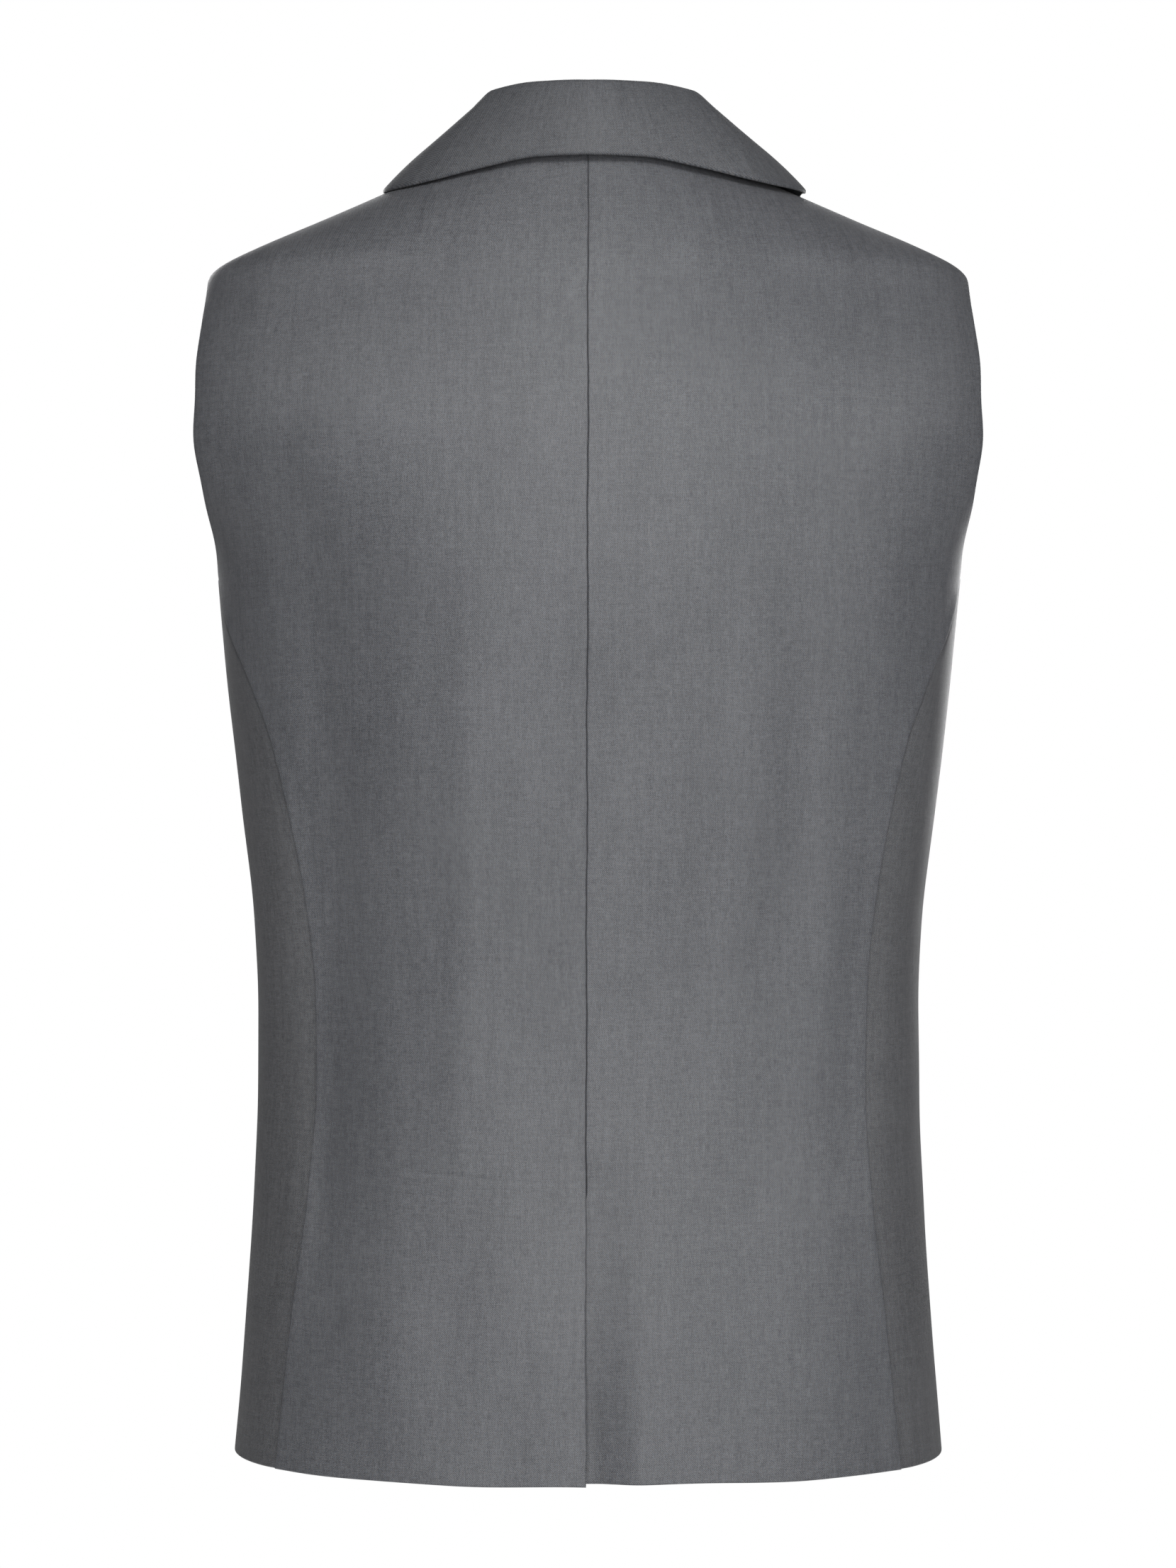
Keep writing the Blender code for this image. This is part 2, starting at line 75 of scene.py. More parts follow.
class SmoothCurve:
    """Smooth curve through a short table, with no overshoot between its rows."""

    def __init__(self, places: Sequence[float], values: Sequence[float]) -> None:
        """Prepare the curve.

        Args:
            places: where each value stands, in any order.
            values: the values.
        """
        order = np.argsort(places)
        self.places = np.asarray(places, float)[order]
        self.values = np.asarray(values, float)[order]
        self.find_slopes()

    def find_slopes(self) -> None:
        """Slope at each row: none where the values turn, else the harmonic mean of both sides."""
        rise = np.diff(self.values) / np.diff(self.places)
        slopes = np.empty_like(self.values)
        slopes[0], slopes[-1] = rise[0], rise[-1]
        same_way = rise[:-1] * rise[1:] > 0
        total = np.where(same_way, rise[:-1] + rise[1:], 1.0)
        slopes[1:-1] = np.where(same_way, 2 * rise[:-1] * rise[1:] / total, 0.0)
        self.slopes = slopes

    def smoothed(self, spread: float) -> "SmoothCurve":
        """The same curve with its bends softened.

        Args:
            spread: distance over which to soften, in the units of the places.

        Returns:
            A new curve.
        """
        fineness, reach, samples = 3, 2.5, 21
        count = int((self.places[-1] - self.places[0]) / (spread / fineness)) + 1
        places = np.linspace(self.places[0], self.places[-1], count)
        offsets = np.linspace(-reach, reach, samples)
        weights = np.exp(-offsets**2 / 2)
        total = np.zeros(count)
        for offset, weight in zip(offsets * spread, weights / weights.sum()):
            beyond = places + offset
            inside = np.clip(beyond, self.places[0], self.places[-1])
            edge_slope = np.where(beyond < inside, self.slopes[0], self.slopes[-1])
            total += weight * (self(inside) + (beyond - inside) * edge_slope)
        return SmoothCurve(places, total)

    def __call__(self, at: Array) -> Array:
        """Read the curve.

        Args:
            at: places to read at.

        Returns:
            The values there, held constant past both ends.
        """
        at = np.clip(at, self.places[0], self.places[-1])
        i = np.clip(np.searchsorted(self.places, at, side="right") - 1, 0, len(self.places) - 2)
        span = self.places[i + 1] - self.places[i]
        t = (at - self.places[i]) / span
        return ((2 * t**3 - 3 * t**2 + 1) * self.values[i]
                + (t**3 - 2 * t**2 + t) * span * self.slopes[i]
                + (3 * t**2 - 2 * t**3) * self.values[i + 1]
                + (t**3 - t**2) * span * self.slopes[i + 1])


def columns_of(table: Sequence[Sequence[float]]) -> list[list[float]]:
    """Turn a table's rows, in millimetres, into columns in metres.

    Args:
        table: the rows.

    Returns:
        One list for each column.
    """
    return [[value / 1000 for value in column] for column in zip(*table)]


def ease(t: Array) -> Array:
    """Smooth step from 0 to 1."""
    t = np.clip(t, 0.0, 1.0)
    return t * t * (3 - 2 * t)


@dataclass(frozen=True)
class Cut:
    """Driving sizes of the garment, in metres, the same as its solids'.

    Attributes:
        wall: thickness of a panel.
        hem: height of the hem.
        vent_top, vent_lap: height of the vent's top and width of its underlap.
        front_lap: how far each front reaches past the centre line.
        roll_start, lapel_start: heights where the roll line and the lapel start.
        neck_half_width: half the width of the neck, where the shoulder line starts.
        shoulder_slope: how far the shoulder drops for each metre outwards.
        back_neck_rise: how much higher the neck seam is at the centre back.
        seam_top_back, seam_top_front: heights where the side seams meet the armhole.
        shoulder_tip: height of the shoulder's outer end.
    """

    wall: float = 0.002
    hem: float = -0.672
    vent_top: float = -0.529
    vent_lap: float = 0.036
    front_lap: float = 0.018
    roll_start: float = -0.270
    lapel_start: float = -0.217
    neck_half_width: float = 0.083
    shoulder_slope: float = 0.43
    back_neck_rise: float = 0.008
    seam_top_back: float = -0.212
    seam_top_front: float = -0.232
    shoulder_tip: float = -0.050


CUT = Cut()

# Level sections of the body form, in millimetres; the roundness is a superellipse power.
# height, half width, back depth, front depth, back roundness, front roundness
SECTIONS = (
    (12, 201.0, 60.0, 60.0, 1.95, 1.95),
    (0, 201.0, 64.5, 63.0, 1.90, 1.90),
    (-20, 201.0, 73.5, 67.0, 1.78, 1.80),
    (-50, 201.0, 85.0, 73.0, 1.70, 1.75),
    (-65, 204.7, 89.0, 78.0, 1.80, 1.85),
    (-80, 209.7, 93.0, 84.0, 1.95, 1.95),
    (-110, 215.2, 101.0, 95.0, 2.25, 2.10),
    (-139, 216.0, 106.0, 105.0, 2.40, 2.20),
    (-173, 207.7, 108.0, 115.0, 2.40, 2.20),
    (-201, 197.7, 108.0, 121.0, 2.40, 2.20),
    (-230, 195.0, 106.0, 124.0, 2.40, 2.20),
    (-275, 190.7, 100.5, 122.0, 2.40, 2.20),
    (-335, 183.6, 93.5, 110.0, 2.38, 2.20),
    (-395, 176.3, 87.0, 99.0, 2.32, 2.20),
    (-440, 174.2, 84.5, 95.0, 2.30, 2.20),
    (-485, 174.2, 86.0, 95.0, 2.30, 2.20),
    (-545, 176.6, 96.0, 98.0, 2.35, 2.20),
    (-605, 180.8, 107.0, 102.0, 2.40, 2.20),
    (-672, 186.5, 113.0, 106.0, 2.40, 2.20),
)

# Armhole seen from the side, in millimetres: height, back edge, front edge (from the side line).
ARMHOLE = (
    (-50, 0, 0), (-56, 8, -9), (-65, 15, -17), (-80, 25, -28), (-104, 36, -42), (-130, 44, -52),
    (-158, 43, -58), (-186, 32, -57), (-212, 17, -49), (-232, 1, -34), (-241, -9, -22),
    (-243, -15, -15),
)

# Bottom of the armhole, in millimetres: distance behind the side line, height.
ARMHOLE_BOTTOM = (
    (-34, -232), (-28, -237.5), (-20, -241.5), (-13, -242.5), (-6, -240), (2, -232), (9, -222.5),
    (17, -212),
)

# Side-back seam, in millimetres: height, distance from the centre line.
SIDE_BACK_SEAM = (
    (-212, 195.5), (-238, 189.0), (-268, 176.0), (-300, 164.0), (-339, 155.0), (-380, 148.5),
    (-426, 144.0), (-480, 143.0), (-538, 146.0), (-594, 152.0), (-672, 160.0),
)

# Side-front seam, in millimetres: height, distance in front of the side line.
SIDE_FRONT_SEAM = ((-232, 34), (-280, 40), (-340, 44), (-440, 45), (-560, 47), (-672, 50))


class BodyForm:
    """The hollow shape that the garment's panels follow: level superellipse rings."""

    def __init__(self) -> None:
        """Read the sections into curves, smoothed a little so that no row of a table shows."""
        height, width, back, front, _, _ = columns_of(SECTIONS)
        back_power = [row[4] for row in SECTIONS]
        front_power = [row[5] for row in SECTIONS]
        self.body_width = SmoothCurve(height, width).smoothed(0.006)
        self.back_depth = SmoothCurve(height, back).smoothed(0.010)
        self.front_depth = SmoothCurve(height, front).smoothed(0.010)
        self.back_power = SmoothCurve(height, back_power).smoothed(0.012)
        self.front_power = SmoothCurve(height, front_power).smoothed(0.012)
        level, back_edge, front_edge = columns_of(ARMHOLE)
        self.armhole_back = SmoothCurve(level, back_edge).smoothed(0.007)
        self.armhole_front = SmoothCurve(level, front_edge).smoothed(0.007)
        self.side_back = SmoothCurve(*columns_of(SIDE_BACK_SEAM))
        self.side_front = SmoothCurve(*columns_of(SIDE_FRONT_SEAM))

    def half_width(self, z: Array) -> Array:
        """Half width of the form: the body's, cut by the sloping shoulder line above the tips.

        Args:
            z: heights.

        Returns:
            Half widths in metres.
        """
        rounding = 0.006
        body = self.body_width(z)
        shoulder = CUT.neck_half_width - z / CUT.shoulder_slope
        return body - rounding * np.logaddexp(0.0, (body - shoulder) / rounding)

    def ring(self, z: Array, front: Array) -> tuple[Array, Array, Array]:
        """Shape of one half of a level ring.

        Args:
            z: heights.
            front: true where the front half is meant.

        Returns:
            Half widths, depths and roundness powers.
        """
        depth = np.where(front, self.front_depth(z), self.back_depth(z))
        power = np.where(front, self.front_power(z), self.back_power(z))
        return self.half_width(z), depth, power

    def point(self, angle: Array, z: Array) -> Array:
        """Points of the form on and beyond its +X half.

        Args:
            angle: ring angles: 0 at the side, a right angle at the centre back, negative in front.
                Past a right angle the point lies beyond the centre line.
            z: heights.

        Returns:
            The points.
        """
        angle, z = np.broadcast_arrays(angle, z)
        width, depth, power = self.ring(z, angle < 0)
        cosine, sine = np.cos(angle), np.sin(angle)
        x = width * np.sign(cosine) * np.abs(cosine) ** (2 / power)
        y = depth * np.sign(sine) * np.abs(sine) ** (2 / power)
        return np.stack([x, y, z], axis=-1)

    def chest(self, x: Array, z: Array) -> Array:
        """Points of the form's front.

        Args:
            x: signed distances from the centre line.
            z: heights.

        Returns:
            The points.
        """
        x, z = np.broadcast_arrays(x, z)
        width, depth, power = self.ring(z, np.ones(z.shape, bool))
        y = depth * (1 - np.minimum(np.abs(x) / width, 1.0) ** power) ** (1 / power)
        return np.stack([x, -y, z], axis=-1)

    def level(self, x: Array, y: Array, z: Array) -> Array:
        """Tell how far out places are.

        Args:
            x, y, z: coordinates of the places.

        Returns:
            1 on the form and more outside it.
        """
        width, depth, power = self.ring(z, y < 0)
        return (np.abs(x) / width) ** power + (np.abs(y) / depth) ** power

    def normal(self, points: Array) -> Array:
        """Outward directions of the form.

        Args:
            points: points on the form.

        Returns:
            Unit normals.
        """
        step = 0.0002
        x, y, z = points[..., 0], points[..., 1], points[..., 2]
        width, depth, power = self.ring(z, y < 0)
        nx = np.sign(x) * power / width * (np.abs(x) / width) ** (power - 1)
        ny = np.sign(y) * power / depth * (np.abs(y) / depth) ** (power - 1)
        nz = (self.level(x, y, z + step) - self.level(x, y, z - step)) / (2 * step)
        normal = np.stack([nx, ny, nz], axis=-1)
        return normal / np.linalg.norm(normal, axis=-1, keepdims=True)

    def angle_from_x(self, z: Array, x: Array, front: bool) -> Array:
        """Find a ring angle from the distance to the centre line.

        Args:
            z: heights.
            x: distances from the centre line.
            front: true for the front half.

        Returns:
            Angles from 0 to a right angle.
        """
        width, _, power = self.ring(z, np.full(np.shape(z), front))
        return np.arccos(np.clip(x / width, 0.0, 1.0) ** (power / 2))

    def angle_from_y(self, z: Array, y: Array) -> Array:
        """Find a ring angle from the distance to the side line.

        Args:
            z: heights.
            y: distances behind the side line, negative in front of it.

        Returns:
            Signed angles.
        """
        _, depth, power = self.ring(z, y < 0)
        return np.sign(y) * np.arcsin(np.clip(np.abs(y) / depth, 0.0, 1.0) ** (power / 2))

    def side_seam(self, z: Array) -> Array:
        """Seam between back and side panel, which ends at the armhole's edge.

        Args:
            z: heights.

        Returns:
            Ring angles.
        """
        reach = 0.022
        top = np.full(np.shape(z), CUT.seam_top_back)
        armhole = self.angle_from_y(top, self.armhole_back(top))
        miss = armhole - self.angle_from_x(top, self.side_back(top), False)
        fade = np.exp(-(((CUT.seam_top_back - z) / reach) ** 2))
        return self.angle_from_x(z, self.side_back(z), False) + miss * fade

    def back_edge(self, z: Array) -> Array:
        """Outer edge of the back: side seam, armhole, then shoulder seam.

        Args:
            z: heights.

        Returns:
            Ring angles.
        """
        armhole = self.angle_from_y(z, np.maximum(self.armhole_back(z), 0.0))
        return np.where(z <= CUT.seam_top_back, self.side_seam(z), armhole)

    def front_edge(self, z: Array) -> Array:
        """Outer edge of the front: side seam, armhole, then shoulder seam.

        Args:
            z: heights.

        Returns:
            Ring angles.
        """
        seam = self.angle_from_y(z, -self.side_front(z))
        armhole = self.angle_from_y(z, np.minimum(self.armhole_front(z), 0.0))
        return np.where(z <= CUT.seam_top_front, seam, armhole)

    def roll_line(self, z: Array) -> Array:
        """Distance of a front's inner edge from the centre line, positive on its own side."""
        rise = (CUT.neck_half_width + CUT.front_lap) / -CUT.roll_start
        return -CUT.front_lap + rise * np.maximum(z - CUT.roll_start, 0.0)


FORM = BodyForm()


@dataclass(frozen=True)
class Crease:
    """One soft trough or ridge, along a slightly bent line seen square on, in millimetres.

    Attributes:
        region: half of the garment that it lies on.
        start, end: its ends, each a distance from the centre line and a height.
        spread: half its width.
        height: how far it stands out, negative for a trough.
        bend: how far the line bows sideways.
        lean: how much steeper one flank is than the other.
    """

    region: Region
    start: tuple[float, float]
    end: tuple[float, float]
    spread: float
    height: float
    bend: float = 0.0
    lean: float = 0.0

    def raise_at(self, x: Array, z: Array) -> Array:
        """Height of the crease.

        Args:
            x: signed distances from the centre line, in metres.
            z: heights, in metres.

        Returns:
            Outward heights in metres.
        """
        fade_power, lean_rate = 1.3, 1.5
        start = np.array(self.start) / 1000
        run = np.array(self.end) / 1000 - start
        length = float(np.hypot(*run))
        along = ((x - start[0]) * run[0] + (z - start[1]) * run[1]) / length**2
        away = ((x - start[0]) * run[1] - (z - start[1]) * run[0]) / length
        away = away - self.bend / 1000 * np.sin(math.pi * np.clip(along, 0, 1))
        fade = np.sin(math.pi * np.clip(along, 0.0, 1.0)) ** fade_power
        spread = self.spread / 1000
        shifted = away / spread
        skewed = shifted * (1 + self.lean * np.tanh(shifted * lean_rate))
        return self.height / 1000 * fade * np.exp(-skewed**2)


CREASES = (
    # Left back: the long hollow from shoulder blade to hip, and the ridge beside the seam.
    Crease(Region.BACK, (134, -150), (130, -650), 17, -6.0, -6, -0.3),
    Crease(Region.BACK, (66, -190), (66, -590), 12, 1.2, 4),
    Crease(Region.BACK, (146, -255), (140, -470), 7, 1.2, 3),
    Crease(Region.BACK, (150, -120), (134, -330), 14, -1.0, -6),
    Crease(Region.BACK, (70, -500), (58, -690), 18, -1.1, -4),
    Crease(Region.BACK, (104, -560), (98, -700), 16, 1.2),
    Crease(Region.BACK, (30, -330), (34, -560), 22, -0.5),
    # Left back: fine crossways press marks above the vent.
    Crease(Region.BACK, (101, -518.5), (30, -524.5), 1.2, -0.60, 0.8),
    Crease(Region.BACK, (94, -556), (72, -559), 1.6, -0.22),
    # Right back: shallower, uneven companions.
    Crease(Region.BACK, (-105, -190), (-102, -470), 15, -2.8, 3),
    Crease(Region.BACK, (-76, -205), (-72, -460), 13, 0.9, 3),
    Crease(Region.BACK, (-139, -240), (-133, -540), 12, -1.1, 3),
    Crease(Region.BACK, (-60, -520), (-72, -700), 24, -0.8),
    Crease(Region.BACK, (-12, -571), (-52, -577), 2.0, -0.40),
    Crease(Region.BACK, (9, -440), (7, -548), 5, -0.7),
    Crease(Region.BACK, (-104, -600), (-110, -700), 15, 0.9),
    # Shoulder blades and armholes: faint diagonal pulls.
    Crease(Region.BACK, (186, -150), (120, -215), 16, -0.9, 5),
    Crease(Region.BACK, (-186, -150), (-130, -205), 15, -0.7, -4),
    Crease(Region.BACK, (60, -40), (150, -75), 14, -0.6, 4),
    Crease(Region.BACK, (-60, -38), (-146, -72), 14, -0.5, -4),
    Crease(Region.BACK, (196, -150), (178, -172), 5, -0.9),
    Crease(Region.BACK, (-196, -146), (-182, -170), 5, -0.8),
    # Fronts: drag from bust to waist, hip folds and pulls towards the buttons.
    Crease(Region.FRONT, (96, -250), (86, -560), 17, -2.2, 5),
    Crease(Region.FRONT, (-92, -255), (-90, -545), 16, -2.0, -5),
    Crease(Region.FRONT, (128, -270), (116, -600), 14, 1.3, 3),
    Crease(Region.FRONT, (-130, -265), (-120, -590), 15, 1.2, -4),
    Crease(Region.FRONT, (60, -455), (52, -690), 18, 1.1),
    Crease(Region.FRONT, (-56, -470), (-64, -690), 20, 1.2),
    Crease(Region.FRONT, (6, -377), (70, -392), 6, -0.7, 2),
    Crease(Region.FRONT, (-8, -377), (-74, -366), 6, -0.6, -2),
    Crease(Region.FRONT, (6, -292), (84, -268), 7, -0.8, 3),
    Crease(Region.FRONT, (-8, -292), (-80, -272), 7, -0.7, -3),
    Crease(Region.FRONT, (176, -150), (120, -205), 14, -0.9, 5),
    Crease(Region.FRONT, (-176, -150), (-126, -210), 15, -0.9, -5),
)


@dataclass(frozen=True)
class Hang:
    """How unevenly the cloth hangs: places and runs in metres, shares as plain numbers.

    Attributes:
        turn_slope: forward shift of the left back for each metre of reach past turn_start.
        turn_start, turn_softness: where the shift starts, and how softly.
        turn_top, turn_top_run: height below which it starts, and over what drop it grows.
        turn_hip, turn_hip_run, turn_hip_loss: where, over what drop and by what share it dies down.
        turn_front, turn_front_run: place in depth from which it grows, and over what run.
        side_from, side_run: distance from the centre line where the sides' waves grow.
        side_wave, side_wave_depth, side_wave_down: their height, and their number along Y and Z.
        side_bands, side_band_top: how they come and go down the sides.
        region_start, region_run: place in depth where a half's creases start, and over what run.
        seam_drift, seam_drift_run: steady sideways drift of the centre seam, and its run.
        seam_wave, seam_fine_wave: its slow and its quick wander.
        vent_run, vent_reach: drop and reach over which the underlap dives under.
        vent_clearance, vent_flare, vent_flare_run: its clearance, and how it falls away further down.
        vent_lift, vent_lift_reach, vent_lift_run: how the left back's vent edge stands off.
        front_run, front_top, front_drop: how the left front's lap dives under the right one.
        front_clearance: its clearance.
    """

    turn_slope: float = -0.145
    turn_start: float = 0.070
    turn_softness: float = 0.016
    turn_top: float = -0.130
    turn_top_run: float = 0.100
    turn_hip: float = -0.440
    turn_hip_run: float = 0.200
    turn_hip_loss: float = 0.8
    turn_front: float = -0.050
    turn_front_run: float = 0.100
    side_from: float = 0.140
    side_run: float = 0.030
    side_wave: float = 0.0008
    side_wave_depth: float = 74
    side_wave_down: float = 9
    side_bands: float = 7.3
    side_band_top: float = -0.24
    region_start: float = -0.006
    region_run: float = 0.030
    seam_drift: float = 0.0010
    seam_drift_run: float = 0.5
    seam_wave: float = 0.00022
    seam_fine_wave: float = 0.00010
    vent_run: float = 0.024
    vent_reach: float = 0.030
    vent_clearance: float = 0.0008
    vent_flare: float = 0.0048
    vent_flare_run: float = 0.15
    vent_lift: float = 0.0024
    vent_lift_reach: float = 0.050
    vent_lift_run: float = 0.13
    front_run: float = 0.030
    front_top: float = -0.150
    front_drop: float = 0.060
    front_clearance: float = 0.0011


HANG = Hang()

# Slight ripples of the cloth: waves around and up, phase, height in metres.
RIPPLES = (
    (37.0, 11.0, 0.9, 0.00022), (-23.0, 29.0, 2.1, 0.00018), (71.0, -17.0, 4.0, 0.00009),
    (13.0, 61.0, 5.2, 0.00010), (-97.0, 43.0, 1.3, 0.00005),
)


def left_turn(points: Array) -> Array:
    """Forward shift of the left back, which turns to the side sooner than the right one does.

    Args:
        points: points of the form.

    Returns:
        Shifts along Y in metres, none on the right half.
    """
    x, y, z = points[..., 0], points[..., 1], points[..., 2]
    reach = HANG.turn_softness * np.logaddexp(0.0, (x - HANG.turn_start) / HANG.turn_softness)
    below = ease((HANG.turn_top - z) / HANG.turn_top_run)
    hip = 1 - HANG.turn_hip_loss * ease((HANG.turn_hip - z) / HANG.turn_hip_run)
    behind = ease((y - HANG.turn_front) / HANG.turn_front_run)
    return HANG.turn_slope * reach * below * hip * behind


def crease_height(points: Array) -> Array:
    """Sum of the creases and of the cloth's slight unevenness at points of the form.

    Args:
        points: points on the form.

    Returns:
        Outward heights in metres.
    """
    x, y, z = points[..., 0], points[..., 1], points[..., 2]
    total = np.zeros(x.shape)
    for crease in CREASES:
        on_region = ease((y * crease.region.value - HANG.region_start) / HANG.region_run)
        total += crease.raise_at(x, z) * on_region
    side = ease((np.abs(x) - HANG.side_from) / HANG.side_run)
    side_wave = np.sin(y * HANG.side_wave_depth + z * HANG.side_wave_down)
    bands = np.sin((z - HANG.side_band_top) * HANG.side_bands) ** 2
    total += HANG.side_wave * side * side_wave * bands
    depth_share, crossing = 0.6, 0.7
    around = x + depth_share * y
    for across, up, phase, size in RIPPLES:
        wave = np.sin(around * across + z * up + phase)
        total += size * wave * np.cos(z * across * crossing + phase)
    return total


def seam_wander(z: Array) -> Array:
    """Sideways wander of the centre seam, as a sewn line has.

    Args:
        z: heights.

    Returns:
        Shifts along X in metres.
    """
    slow, quick, phase = 61, 233, 0.4
    drift = HANG.seam_drift * ease((CUT.shoulder_tip - z) / HANG.seam_drift_run)
    wave = HANG.seam_wave * np.sin(z * slow + phase)
    return drift + wave + HANG.seam_fine_wave * np.sin(z * quick)


def vent_sink(x: Array, z: Array, side: Side) -> Array:
    """Outward height near the vent: the right back passes beneath, the left back lifts a little.

    Args:
        x: signed distances from the centre line.
        z: heights.
        side: which half of the back.

    Returns:
        Outward heights in metres, negative where the cloth dives under.
    """
    if side is Side.RIGHT:
        opening = ease((CUT.vent_top + HANG.vent_run - z) / HANG.vent_run)
        near = ease((x + HANG.vent_reach) / HANG.vent_reach)
        flare = HANG.vent_flare * ease((CUT.vent_top - z) / HANG.vent_flare_run)
        return -near * opening * (CUT.wall + HANG.vent_clearance + flare)
    near = 1 - ease(x / HANG.vent_lift_reach)
    return near * HANG.vent_lift * ease((CUT.vent_top - z) / HANG.vent_lift_run)


def front_sink(x: Array, z: Array, side: Side) -> Array:
    """Outward height near the front's centre: the left front passes beneath the right one.

    Args:
        x: signed distances from the centre line.
        z: heights.
        side: which front.

    Returns:
        Outward heights in metres, none on the right front.
    """
    if side is Side.RIGHT:
        return np.zeros(np.shape(x))
    near = ease((CUT.front_lap + HANG.front_run - x) / HANG.front_run)
    below = ease((HANG.front_top - z) / HANG.front_drop)
    return -near * below * (CUT.wall + HANG.front_clearance)


# Distances of the fine grid steps from a panel's edge, in metres, from the edge inwards.
EDGE_STEPS = (0.0, 0.00012, 0.0004, 0.0008, 0.0014, 0.0024, 0.0040)


def spread_distances(length: float, count: int) -> Array:
    """Distances along a row: fine steps at both edges, even ones between.

    Args:
        length: the row's length.
        count: number of even steps between the fine ones.

    Returns:
        Distances from 0 to the length.
    """
    near = np.asarray(EDGE_STEPS)
    middle = np.linspace(near[-1], length - near[-1], count + 1)[1:-1]
    return np.concatenate([near, middle, length - near[::-1]])


def add_object(name: str, data: bpy.types.ID) -> bpy.types.Object:
    """Put a new object with this mesh, curve, lamp or camera into the scene.

    Args:
        name: the object's name.
        data: what it holds.

    Returns:
        The object.
    """
    made = bpy.data.objects.new(name, data)
    bpy.context.scene.collection.objects.link(made)
    return made


@dataclass
class Shell:
    """A thin closed shell of cloth between an outer and an inner grid of points.

    Attributes:
        name: name of the solid that it stands for.
        outer, inner: grids of points, rows by columns.
        cloth: flat cloth coordinates of each grid point, in metres.
        keep: true for each grid cell that is cloth, or None where all are.
        turn: distance over which a folded edge rounds off.
        mirrored: true where the grid runs the other way round, so that faces are turned over.
        press_and_shade_reach: distance over which the smoother finish of a pressed edge, and the painted
            shade along edges and seams, fade.
    """

    name: str
    outer: Array
    inner: Array
    cloth: Array
    keep: Array | None = None
    turn: float = 0.0006
    mirrored: bool = False
    press_and_shade_reach: float = 0.0035

    def kept(self) -> Array:
        """True for each grid cell that is cloth."""
        rows, columns = self.outer.shape[:2]
        return np.ones((rows - 1, columns - 1), bool) if self.keep is None else self.keep

    def cells_around(self) -> Array:
        """Number of kept cells around each grid point: 4 inside, 0 off the cloth.

        Returns:
            Counts, rows by columns.
        """
        rows, columns = self.outer.shape[:2]
        padded = np.zeros((rows + 1, columns + 1), int)
        padded[1:-1, 1:-1] = self.kept()
        return padded[:-1, :-1] + padded[1:, :-1] + padded[:-1, 1:] + padded[1:, 1:]

    def edge_distance(self, around: Array) -> Array:
        """Distance of each grid point from the nearest border point.

        Args:
            around: number of kept cells around each point.

        Returns:
            Distances in metres, rows by columns; 1 where no border point is near.
        """
        near, batch = 0.008, 2000
        border = self.outer[(around > 0) & (around < 4)].astype(np.float32)
        border = border[np.argsort(border[:, 2])]
        points = self.outer.reshape(-1, 3).astype(np.float32)
        result = np.full(len(points), 1.0, np.float32)
        for start in range(0, len(points), batch):
            chunk = points[start:start + batch]
            low = np.searchsorted(border[:, 2], chunk[:, 2].min() - near)
            high = np.searchsorted(border[:, 2], chunk[:, 2].max() + near)
            if high > low:
                gaps = chunk[:, None, :] - border[None, low:high, :]
                result[start:start + batch] = np.sqrt((gaps**2).sum(-1).min(1))
        return result.reshape(self.outer.shape[:2])

    def rounded(self, distance: Array) -> tuple[Array, Array]:
        """Both grids, drawn together at the edges as a folded edge is.

        Args:
            distance: distance of each point from the border.

        Returns:
            The outer and the inner grid.
        """
        middle = (self.outer + self.inner) / 2
        left = 1 - np.clip(distance / self.turn, 0, 1)
        close = (1 - np.sqrt(1 - left**2))[..., None]
        return self.outer + (middle - self.outer) * close, self.inner + (middle - self.inner) * close

    def faces(self, index: Array, turned: bool) -> Array:
        """Corner indices of the kept cells.

        Args:
            index: vertex index of each grid point.
            turned: true to turn the faces over.

        Returns:
            Four indices for each face.
        """
        corners = [index[:-1, :-1], index[:-1, 1:], index[1:, 1:], index[1:, :-1]]
        found = np.stack(corners, axis=-1)[self.kept()]
        return found[:, ::-1] if turned else found

    def build(self) -> bpy.types.Object:
        """Make the shell's mesh object, with its cloth coordinates and its edge weight, which smooths
        pressed edges and paints shade along edges and seams.

        Returns:
            The piece.
        """
        around = self.cells_around()
        distance = self.edge_distance(around)
        outer, inner = self.rounded(distance)
        used, inside = around > 0, around == 4
        outer_index = np.cumsum(used).reshape(used.shape) - 1
        inner_index = used.sum() + np.cumsum(inside).reshape(used.shape) - 1
        inner_index = np.where(inside, inner_index, outer_index)
        points = np.concatenate([outer[used], inner[inside]])
        faces = np.concatenate([self.faces(outer_index, self.mirrored),
                                self.faces(inner_index, not self.mirrored)])
        mesh = bpy.data.meshes.new(f"{self.name}_cloth")
        mesh.from_pydata(points.tolist(), [], faces.tolist())
        cloth = np.concatenate([self.cloth[used], self.cloth[inside]])
        layer = mesh.uv_layers.new(name="cloth")
        layer.data.foreach_set("uv", cloth[faces.reshape(-1)].astype(np.float32).reshape(-1))
        # Weight near each edge and seam: the material makes the cloth smoother there, as pressing does,
        # and darker there, which is painted shade.
        pressed = np.exp(-(distance / self.press_and_shade_reach) ** 2)
        weight = mesh.attributes.new("pressed", "FLOAT", "POINT")
        weight.data.foreach_set("value", np.concatenate([pressed[used], pressed[inside]]))
        mesh.shade_smooth()
        mesh.update()
        return add_object(mesh.name, mesh)


